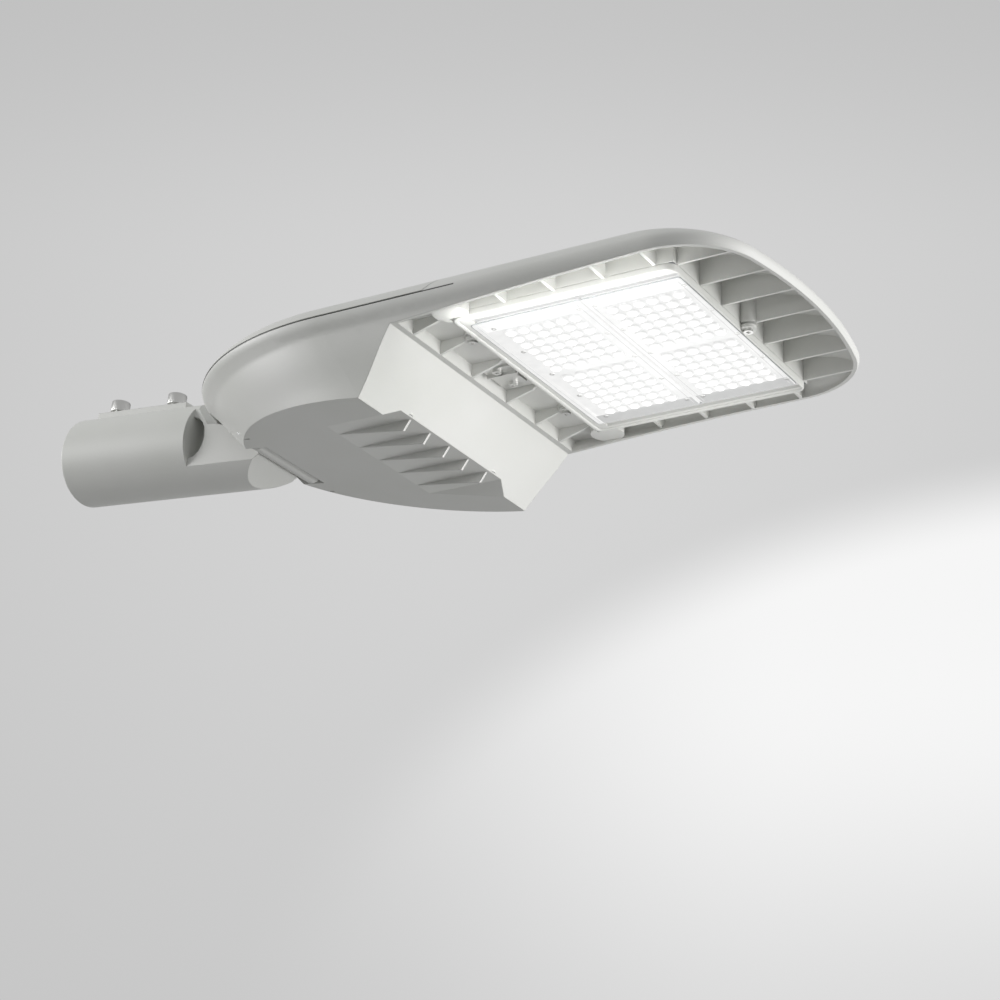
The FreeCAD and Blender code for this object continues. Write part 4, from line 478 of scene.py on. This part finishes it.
RIDGE_END, RIDGE_EDGE, RIDGE_CORNER = 4.0 * MM, 0.2 * MM, 0.3 * MM
FLANGE_GLOW, LAND_GLOW, RIDGE_GLOW, MAT_GLOW = 0.38, 0.56, 0.42, 0.53
# painted glare: the near strip (-1) glows brighter than the far strip (1)
STRIP_GLOW_WITH_PAINTED_GLARE = {-1: 0.64, 1: 0.33}
MAT_HALF_X = (LENS_COLUMNS - 1) / 2 * LENS_PITCH_X + LENS_RADIUS + MAT_MARGIN_X
MAT_HALF_Y = (LENS_ROWS - 1) / 2 * LENS_PITCH_Y + LENS_RADIUS + MAT_MARGIN_Y


def plate_layers(name, centre):
    """Sizes of each slab of a plate (x, x, y, y, low, high, edge, corner), with its glow."""
    low, high = plates[name]
    is_rear = name == "lens_plate_rear"
    flange_face = high.z - FLANGE_THICKNESS
    start = LIP_START if is_rear else low.x + JOINT_HALF
    end = high.x - (JOINT_HALF if is_rear else FRONT_INSET)
    land_start = low.x + (REAR_INSET if is_rear else JOINT_HALF)
    sunk = PLATE_FACE + LAYER_SINK
    layers = [((low.x, high.x, low.y, high.y, flange_face, high.z, PLATE_EDGE, FLANGE_CORNER), FLANGE_GLOW),
              ((land_start, end, -LAND_HALF, LAND_HALF, PLATE_FACE, flange_face + LAND_SINK,
                PLATE_EDGE, LAND_CORNER), LAND_GLOW)]
    if is_rear:
        layers.append(((start, low.x + LIP_OVERLAP, -LAND_HALF, LAND_HALF, PLATE_FACE, frame_low.z,
                        LIP_EDGE, LIP_CORNER), LAND_GLOW))
    for side in (-1, 1):
        middle = side * FIELD_OFFSET
        layers.append(((centre - MAT_HALF_X, centre + MAT_HALF_X, middle - MAT_HALF_Y, middle + MAT_HALF_Y,
                        PLATE_FACE - MAT_RISE, sunk, MAT_RISE, MAT_CORNER), MAT_GLOW))
        strip = sorted((side * (FIELD_OFFSET + MAT_HALF_Y + STRIP_GAP), side * (LAND_HALF - STRIP_INSET)))
        layers.append(((start + STRIP_START[name], end - STRIP_END, *strip, PLATE_FACE - STRIP_RISE, sunk,
                        STRIP_RISE, STRIP_CORNER), STRIP_GLOW_WITH_PAINTED_GLARE[side]))
    for x in (start + RIDGE_INSET, end - RIDGE_INSET - RIDGE_WIDTH):
        layers.append(((x, x + RIDGE_WIDTH, RIDGE_END - LAND_HALF, LAND_HALF - RIDGE_END,
                        PLATE_FACE - RIDGE_RISE, sunk, RIDGE_EDGE, RIDGE_CORNER), RIDGE_GLOW))
    return layers


print("a mat is", [round(v * 2000, 1) for v in (MAT_HALF_X, MAT_HALF_Y)], "mm")

# %% [markdown]
# Each plate is one mesh of its layers and 84 lenses, because it is one moulding. It replaces the
# plain plate of the CAD, and it keeps the glow of every point as an attribute that the material reads.

# %% The two lens plates
LENS_SINK = 0.02 * MM
for name in plates:
    centre = OPTIC_X + FIELD_CENTRES[name]
    points, faces, light = [], [], []
    for sizes, layer_glow in plate_layers(name, centre):
        more, more_faces = rounded_slab(*sizes)
        faces += [tuple(i + len(points) for i in face) for face in more_faces]
        points += more
        light += [layer_glow] * len(more)
    for side in (-1, 1):
        for i in range(LENS_COLUMNS):
            for j in range(LENS_ROWS):
                x = centre + (i - (LENS_COLUMNS - 1) / 2) * LENS_PITCH_X
                y = side * FIELD_OFFSET + (j - (LENS_ROWS - 1) / 2) * LENS_PITCH_Y
                more, more_faces, more_light = dome(x, y, PLATE_FACE - MAT_RISE + LENS_SINK, len(points))
                points += more
                faces += more_faces
                light += more_light
    plate = make_piece(name + "_domed", points, faces, acrylic, "head", (name,))
    plate.data.attributes.new("glow", "FLOAT", "POINT").data.foreach_set("value", light)
    print(plate.name, "has", len(plate.data.polygons), "faces")

# %% [markdown]
# Round the acrylic runs a thin silicone seal, which the eye reads as a fine grey line, and the cast
# frame has a rounded bead along its outer edge. Both are rings: a small profile carried round a
# rectangle with rounded corners, so one function makes both. The bead is narrow along the front
# edge, where the frame has no border to spare.

# %% Bead of the frame and seal of the plates
RING_TURNS = 8
BEAD_HEIGHT, BEAD_SINK, BEAD_STEPS = 1.0 * MM, 0.1 * MM, 8
BEAD_INSET, BEAD_CORNER, FRONT_BORDER = 0.3 * MM, 7.7 * MM, 1.8 * MM
BEAD_NARROW, BEAD_SPREAD = 1.3 * MM, 2.9 * MM
SEAL_WIDTH, SEAL_CORNER = 0.8 * MM, 3.2 * MM
SEAL_PROFILE = [(0.0, 0.15 * MM), (0.25, 0.35 * MM), (0.75, 0.35 * MM), (1.0, 0.15 * MM),
                (1.0, -0.5 * MM), (0.0, -0.5 * MM)]


def ring_piece(name, loop, width, profile, material):
    """A ring under the frame; its profile is a list of (share of the width inward, drop)."""
    points = [(x - ux * width(ux) * share, y - uy * width(ux) * share, frame_low.z - drop)
              for x, y, ux, uy in loop for share, drop in profile]
    rows, count = len(profile), len(loop)
    faces = [(i * rows + k, i * rows + (k + 1) % rows, ((i + 1) % count) * rows + (k + 1) % rows,
              ((i + 1) % count) * rows + k) for i in range(count) for k in range(rows)]
    return make_piece(name, points, faces, material, "head")


half_turn = [math.pi * k / BEAD_STEPS for k in range(BEAD_STEPS + 1)]
bead_profile = [((1 - math.cos(turn)) / 2, BEAD_HEIGHT * math.sin(turn)) for turn in half_turn]
bead_profile += [(1.0, -BEAD_SINK), (0.0, -BEAD_SINK)]
optic_end = plates["lens_plate_front"][1].x
outline = rounded_loop(OPTIC_X + BEAD_INSET, optic_end + FRONT_BORDER, frame_low.y + BEAD_INSET,
                       frame_high.y - BEAD_INSET, BEAD_CORNER, RING_TURNS)
bead = ring_piece("frame_bead", outline, lambda ux: BEAD_NARROW + BEAD_SPREAD * (1 - max(ux, 0.0) ** 2),
                  bead_profile, casting_coat)
around = rounded_loop(LIP_START - SEAL_WIDTH, optic_end, -LAND_HALF - SEAL_WIDTH, LAND_HALF + SEAL_WIDTH,
                      SEAL_CORNER, RING_TURNS)
seal = ring_piece("lens_plate_seal", around, lambda ux: SEAL_WIDTH, SEAL_PROFILE, pale_silicone)
print("made", bead.name, "and", seal.name)

# %% [markdown]
# The screws are the brightest small things on the lamp. Each is turned on the same lathe: a driving
# recess sunk in the head, a rounded rim, the seat and a threaded shank. A ring needn't be round:
# in the recess it follows a hexagon or a six-lobed star, and round a clamp screw's head it is
# knurled. The knurl is shallow, since at its true depth its facets would flicker.

# %% Shapes of a screw's rings
KNURL_DEPTH, LOBE_DEPTH = 0.018, 0.13


def hexagon_reach(turn):
    """Distance to the side of a hexagon of apothem 1, in the direction of an angle."""
    return 1 / math.cos((turn % (math.pi / 3)) - math.pi / 6)


def star_reach(turn):
    """Distance to the side of a six-lobed star."""
    return 1.0 + LOBE_DEPTH * math.cos(6 * turn)


print("the hexagon reaches", round(hexagon_reach(0), 3), "and the star", round(star_reach(0), 3))

# %% [markdown]
# The profile of a screw runs from the floor of its recess over the rim and down the shank. Each row
# is a radius, a height along the axis and the shape of the ring, where it isn't round. The thread
# is a row of ridges, not a helix: at this size nobody can tell.

# %% Screw lathe
def screw_rows(knurl, head_radius, head_height, recess, reach, shank_radius, shank_length, pitch, dome_rise):
    """The profile of one screw: radius, height and ring shape of each row."""
    rim = head_radius * 0.14
    rows = [(0.05 * recess, -0.55 * head_height, None), (recess, -0.5 * head_height, reach),
            (recess, 0.0, reach), (recess * 1.18, 0.03 * head_height, None),
            (head_radius - rim * 2.2, dome_rise * 0.35, None), (head_radius - rim, -dome_rise * 0.4, None),
            (head_radius - rim * 0.3, -rim * 0.3 - dome_rise, None), (head_radius, -rim - dome_rise, knurl),
            (head_radius, -head_height + rim * 0.3, knurl), (head_radius - rim * 0.3, -head_height, None),
            (shank_radius, -head_height, None)]
    turns = max(int(shank_length / pitch), 1)
    for n in range(turns):
        start = -head_height - shank_length * n / turns
        rows += [(shank_radius * 0.88, start - 0.25 * pitch, None),
                 (shank_radius * 0.99, start - 0.6 * pitch, None),
                 (shank_radius * 0.99, start - 0.75 * pitch, None)]
    rows.append((shank_radius * 0.6, -head_height - shank_length, None))
    return rows


def screw_set(name, node, body, places, up, sides, **sizes):
    """All the screws of one CAD node as one piece, turned round the direction up."""
    rows = screw_rows(**sizes)
    axis = Vector(up).normalized()
    side = axis.orthogonal().normalized()
    other = axis.cross(side)
    points, faces = [], []
    for place in places:
        first = len(points)
        for radius, height, shape in rows:
            for k in range(sides):
                turn = 2 * math.pi * k / sides
                reach = radius * (shape(turn) if shape else 1.0)
                points.append(tuple(Vector(place) + axis * height + side * (reach * math.cos(turn))
                                    + other * (reach * math.sin(turn))))
        faces += rings_to_faces(first, len(rows), sides)
        last = first + (len(rows) - 1) * sides
        faces.append(tuple(range(last, last + sides)))
        faces.append(tuple(range(first + sides - 1, first - 1, -1)))
    return make_piece(name, points, faces, stainless, body, (node,), 40.0)


print("helpers ready: screw_rows, screw_set")

# %% [markdown]
# Two cap screws with a hexagon socket clamp the adaptor on the pole's end. They stand on the pad of
# the socket, square to the arm, which is pitched by 5 degrees. Their height is added up from the
# bore's axis: bore, wall, pad, the gap under the head, and the head.

# %% Clamp screws on the pole socket
ARM_PITCH = math.radians(5)
BORE_RADIUS, SOCKET_WALL, PAD_HEIGHT, HEAD_GAP, CAP_HEIGHT = (v * MM for v in (31.0, 7.0, 4.0, 3.0, 10.0))
CLAMP_PLACES = (25.0 * MM, 87.0 * MM)
CLAMP_SIDES = 72
arm_up = Vector((math.sin(ARM_PITCH), 0, math.cos(ARM_PITCH)))
arm_along = Vector((math.cos(ARM_PITCH), 0, -math.sin(ARM_PITCH)))
cap_top = BORE_RADIUS + SOCKET_WALL + PAD_HEIGHT + HEAD_GAP + CAP_HEIGHT
clamp_tops = [arm_along * x + arm_up * cap_top for x in CLAMP_PLACES]
clamp_screws = screw_set("clamp_screws_threaded", "pole_clamp_screws", "arm", clamp_tops, arm_up, CLAMP_SIDES,
                         knurl=lambda turn: 1 + KNURL_DEPTH * math.cos(turn * CLAMP_SIDES / 2),
                         head_radius=8.0 * MM, head_height=CAP_HEIGHT, recess=4.0 * MM, reach=hexagon_reach,
                         shank_radius=5.0 * MM, shank_length=17.0 * MM, pitch=1.5 * MM, dome_rise=0.0)
print(clamp_screws.name, "holds", len(clamp_tops), "screws")

# %% [markdown]
# Twenty small screws with a six-lobed recess hold the lens plates, in four columns and five rows.
# Their heads sit almost flush in the land, so only a glint shows between the lenses.

# %% Lens screws
LENS_SCREW_RISE = 0.35 * MM
lens_screw_tops = [(OPTIC_X + x, row * FIELD_OFFSET, PLATE_FACE - LENS_SCREW_RISE)
                   for x in SCREW_COLUMNS for row in range(-2, 3)]
lens_screws = screw_set("lens_screws_lobed", "lens_screws", "head", lens_screw_tops, (0, 0, -1), 24,
                        knurl=None, head_radius=2.2 * MM, head_height=0.8 * MM, recess=0.9 * MM,
                        reach=star_reach, shank_radius=1.45 * MM, shank_length=6.0 * MM, pitch=1.0 * MM,
                        dome_rise=0.12 * MM)
print(lens_screws.name, "holds", len(lens_screw_tops), "screws")

# %% [markdown]
# The photograph is taken from below and to one side with a longish lens. The camera was found by
# fitting the model's corners to the photograph. Its place, three angles and focal length follow, and
# the three directions across, up and ahead are worked out from the angles.

# %% Camera
YAW, PITCH, ROLL = 0.541, 0.387, 0.032
FOCAL_LENGTH, SENSOR_WIDTH, CLIP_START = 91.68, 36.0, 0.05
CAMERA_PLACE = Vector((1358.1, -1566.2, -853.5)) * MM
ahead = Vector((-math.sin(YAW) * math.cos(PITCH), math.cos(YAW) * math.cos(PITCH), math.sin(PITCH)))
level_right = Vector((math.cos(YAW), math.sin(YAW), 0))
level_up = level_right.cross(ahead)
right = level_right * math.cos(ROLL) + level_up * math.sin(ROLL)
up = level_up * math.cos(ROLL) - level_right * math.sin(ROLL)
camera_data = bpy.data.cameras.new("camera")
camera_data.lens = FOCAL_LENGTH
camera_data.sensor_width = SENSOR_WIDTH
camera_data.clip_start = CLIP_START
camera = bpy.data.objects.new("camera", camera_data)
camera.matrix_world = Matrix([[*row] for row in zip(right, up, -ahead, CAMERA_PLACE)] + [[0, 0, 0, 1]])
bpy.context.scene.collection.objects.link(camera)
bpy.context.scene.camera = camera
print("camera at", [round(v, 3) for v in CAMERA_PLACE], "lens", FOCAL_LENGTH, "mm")

# %% [markdown]
# The world has two faces. Light that bounces meets a studio dome, bright overhead and dim below the
# horizon. Camera, glossy and transmission rays see a plain grey backdrop instead. The backdrop is
# drawn on a flat wall one unit ahead, by direction in the room and not by pixel, so it stays put
# when another camera looks round.

# %% World
LEAST_DEPTH = 0.05
world = bpy.data.worlds.new("studio_dome")
world.use_nodes = True
bpy.context.scene.world = world
sky = world.node_tree
sky.nodes.clear()
direction = add(sky, "ShaderNodeTexCoord").outputs["Generated"]
shares = [add(sky, "ShaderNodeVectorMath", {"operation": "DOT_PRODUCT"},
              {0: direction, 1: tuple(axis)}).outputs["Value"] for axis in (right, up, ahead)]
depth = add(sky, "ShaderNodeMath", {"operation": "MAXIMUM"}, {0: shares[2], 1: LEAST_DEPTH}).outputs[0]
across, height = (add(sky, "ShaderNodeMath", {"operation": "DIVIDE"}, {0: share, 1: depth}).outputs[0]
                  for share in shares[:2])
wall = add(sky, "ShaderNodeCombineXYZ", inputs={"X": across, "Y": height}).outputs["Vector"]
print("the backdrop's wall needs", len(sky.nodes), "nodes")

# %% [markdown]
# The backdrop is a pale grey, lightest behind the lamp. It loses a little towards its corners, and
# rather more towards its top, as paper does that is lit from the front.

# %% Grey backdrop
BACKDROP_CENTRE, BACKDROP_REACH = (0.024, 0.039, 0.0), 0.236
BACKDROP_PALE, BACKDROP_CORNER, BACKDROP_TOP = "#D4D4D4", "#C6C6C6", "#BABABA"
FALL_START, FALL_END = 0.1 * BACKDROP_REACH, 1.6 * BACKDROP_REACH
TOP_START, TOP_END, TOP_SHARE = 0.09, 0.21, 0.55
from_centre = add(sky, "ShaderNodeVectorMath", {"operation": "DISTANCE"}, {0: wall, 1: BACKDROP_CENTRE})
fall = add(sky, "ShaderNodeMapRange", {"interpolation_type": "SMOOTHSTEP"},
           {"Value": from_centre.outputs["Value"], "From Min": FALL_START,
            "From Max": FALL_END}).outputs["Result"]
backdrop = add(sky, "ShaderNodeMix", {"data_type": "RGBA"},
               {"Factor": fall, "A": linear(BACKDROP_PALE), "B": linear(BACKDROP_CORNER)}).outputs["Result"]
top_fall = add(sky, "ShaderNodeMapRange", {"interpolation_type": "SMOOTHSTEP"},
               {"Value": height, "From Min": TOP_START, "From Max": TOP_END,
                "To Max": TOP_SHARE}).outputs["Result"]
backdrop = add(sky, "ShaderNodeMix", {"data_type": "RGBA"},
               {"Factor": top_fall, "A": backdrop, "B": linear(BACKDROP_TOP)}).outputs["Result"]
print("backdrop runs from", BACKDROP_PALE, "to", BACKDROP_CORNER, "and", BACKDROP_TOP, "at its top")

# %% [markdown]
# The lamp throws a wide soft pool of light. It is an oval on the same wall, with a blurred rim, and
# it fades to the left and towards the bottom of the picture. It is seen and mirrored, but it lights
# nothing: the lamp called pool_softbox does that.

# %% Pool of light on the backdrop
POOL_CENTRE, POOL_HALVES, POOL_COLOUR = (0.2945, -0.2454), (0.3927, 0.2552), "#F6F6F6"
RIM_START, RIM_END = 0.93, 1.07
POOL_FADES = ((across, -0.09, 0.12, 0.12), (height, -0.22, -0.07, 0.38))
pool_place = add(sky, "ShaderNodeVectorMath", {"operation": "MULTIPLY_ADD"},
                 {0: wall, 1: (1 / POOL_HALVES[0], 1 / POOL_HALVES[1], 0.0),
                  2: (-POOL_CENTRE[0] / POOL_HALVES[0], -POOL_CENTRE[1] / POOL_HALVES[1], 0.0)})
from_pool = add(sky, "ShaderNodeVectorMath", {"operation": "LENGTH"}, {0: pool_place.outputs["Vector"]})
pool_share = add(sky, "ShaderNodeMapRange", {"interpolation_type": "SMOOTHSTEP"},
                 {"Value": from_pool.outputs["Value"], "From Min": RIM_START, "From Max": RIM_END,
                  "To Min": 1.0, "To Max": 0.0}).outputs["Result"]
for place, begin, end, least in POOL_FADES:
    fade = add(sky, "ShaderNodeMapRange", {"interpolation_type": "SMOOTHSTEP"},
               {"Value": place, "From Min": begin, "From Max": end, "To Min": least}).outputs["Result"]
    pool_share = add(sky, "ShaderNodeMath", {"operation": "MULTIPLY"}, {0: pool_share, 1: fade}).outputs[0]
backdrop = add(sky, "ShaderNodeMix", {"data_type": "RGBA"},
               {"Factor": pool_share, "A": backdrop, "B": linear(POOL_COLOUR)}).outputs["Result"]
print("pool of light centred at", POOL_CENTRE)

# %% [markdown]
# The dome gives the soft light from above that makes the top side pale and leaves the underside in
# shade. The Light Path node chooses between the dome and the backdrop, so that metal and acrylic
# mirror the backdrop that the eye sees behind them.

# %% Dome light and the choice between the two
DOME_BELOW, DOME_ABOVE, DOME_COLOUR = 0.15, 0.8, "#F4F5F6"
overhead = add(sky, "ShaderNodeSeparateXYZ", inputs={"Vector": direction}).outputs["Z"]
dome_level = add(sky, "ShaderNodeMapRange", {"interpolation_type": "SMOOTHSTEP"},
                 {"Value": overhead, "From Min": -0.4, "From Max": 0.9, "To Min": DOME_BELOW,
                  "To Max": DOME_ABOVE}).outputs["Result"]
dome_light = add(sky, "ShaderNodeBackground", inputs={"Color": linear(DOME_COLOUR), "Strength": dome_level})
plain_view = add(sky, "ShaderNodeBackground", inputs={"Color": backdrop, "Strength": 1.0})
rays = add(sky, "ShaderNodeLightPath").outputs
mirrored = add(sky, "ShaderNodeMath", {"operation": "MAXIMUM"},
               {0: rays["Is Glossy Ray"], 1: rays["Is Transmission Ray"]}).outputs[0]
seen = add(sky, "ShaderNodeMath", {"operation": "MAXIMUM"},
           {0: rays["Is Camera Ray"], 1: mirrored}).outputs[0]
sky_mix = add(sky, "ShaderNodeMixShader",
              inputs={0: seen, 1: dome_light.outputs[0], 2: plain_view.outputs[0]})
add(sky, "ShaderNodeOutputWorld", inputs={"Surface": sky_mix.outputs[0]})
print("world has", len(sky.nodes), "nodes")

# %% [markdown]
# Three softboxes light the casting: one beyond the tip, one behind the pole and a little above it,
# and a weak one low in the pool of light. Three small lamps ride on the head and stand for the light
# that leaves the lenses: one shines down, one washes the frame from below, and one whitens the near
# border, which glare hides in real life. The camera doesn't see the lamps themselves.

# %% Lamps
def softbox(name, place, target, size, power, body=None):
    """An area lamp that faces a point, and rides on a body if one is named."""
    data = bpy.data.lights.new(name, "AREA")
    data.shape = "RECTANGLE"
    data.size, data.size_y = size
    data.energy = power
    lamp = bpy.data.objects.new(name, data)
    lamp.location = place
    lamp.rotation_euler = (Vector(target) - Vector(place)).to_track_quat("-Z", "Y").to_euler()
    lamp.visible_camera = False
    bpy.context.scene.collection.objects.link(lamp)
    if body:
        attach(lamp, body)


softbox("tip_softbox", (2.5, 0.6, -0.3), (0.5, 0, 0), size=(1.8, 1.2), power=40.0)
softbox("stern_softbox", (-2.3, -1.4, 0.6), (0.15, 0, 0), size=(1.4, 1.2), power=56.0)
softbox("pool_softbox", (1.7, 0.9, -1.1), (0.4, 0, 0), size=(1.2, 0.8), power=5.2)
panel_x, panel_z = (frame_low.x + frame_high.x) / 2 + 4 * MM, frame_low.z
softbox("beam_light", (panel_x, 0, panel_z - 4 * MM), (panel_x, 0, panel_z - 1.0), size=(0.16, 0.19),
        power=0.22, body="head")
softbox("frame_wash", (panel_x, 20 * MM, panel_z - 36 * MM), (panel_x, 20 * MM, panel_z), size=(0.18, 0.2),
        power=0.11, body="head")
softbox("border_glare", (panel_x, frame_low.y - 8 * MM, panel_z - 18 * MM),
        (panel_x, frame_low.y + 9 * MM, panel_z), size=(0.18, 0.01), power=0.07, body="head")

# %% [markdown]
# The floor is a plain pale sheet a good way below the lamp, so wide that its edge lies on the
# horizon. The main camera looks up and doesn't see it, but views from above do, and it catches the
# lamp's soft shadow. For light that bounces it is darker than it looks, so that the underside
# keeps its shade.

# %% Floor
FLOOR_DEPTH, FLOOR_HALF = -1.45, 60.0
FLOOR_MOTTLE, FLOOR_ROUGHNESS = 20 * MM, 0.8
floor_material, floor_tree, floor_shader = new_material("pale_studio_floor")
floor_rays = add(floor_tree, "ShaderNodeLightPath").outputs
floor_place = add(floor_tree, "ShaderNodeTexCoord").outputs["Object"]
mottle = add(floor_tree, "ShaderNodeTexNoise", inputs={"Vector": floor_place, "Scale": 1 / FLOOR_MOTTLE})
floor_pale = add(floor_tree, "ShaderNodeMix", {"data_type": "RGBA"},
                 {"Factor": mottle.outputs["Fac"], "A": linear("#DCDCDB"), "B": linear("#D6D6D5")})
floor_mirrored = add(floor_tree, "ShaderNodeMath", {"operation": "MAXIMUM"},
                     {0: floor_rays["Is Glossy Ray"], 1: floor_rays["Is Transmission Ray"]}).outputs[0]
floor_seen = add(floor_tree, "ShaderNodeMath", {"operation": "MAXIMUM"},
                 {0: floor_rays["Is Camera Ray"], 1: floor_mirrored}).outputs[0]
floor_tint = add(floor_tree, "ShaderNodeMix", {"data_type": "RGBA"},
                 {"Factor": floor_seen, "A": linear("#909090"), "B": floor_pale.outputs["Result"]})
floor_tree.links.new(floor_tint.outputs["Result"], floor_shader.inputs["Base Color"])
floor_shader.inputs["Roughness"].default_value = FLOOR_ROUGHNESS
floor_mesh = bpy.data.meshes.new("floor")
corners = [(x * FLOOR_HALF, y * FLOOR_HALF, FLOOR_DEPTH) for x, y in ((-1, -1), (1, -1), (1, 1), (-1, 1))]
floor_mesh.from_pydata(corners, [], [(0, 1, 2, 3)])
floor_mesh.materials.append(floor_material)
floor = bpy.data.objects.new("floor", floor_mesh)
bpy.context.scene.collection.objects.link(floor)
print("floor at", FLOOR_DEPTH, "m")

# %% [markdown]
# The plain Standard view shows a colour about as it is written.

# %% Finish
bpy.context.scene.view_settings.view_transform = "Standard"
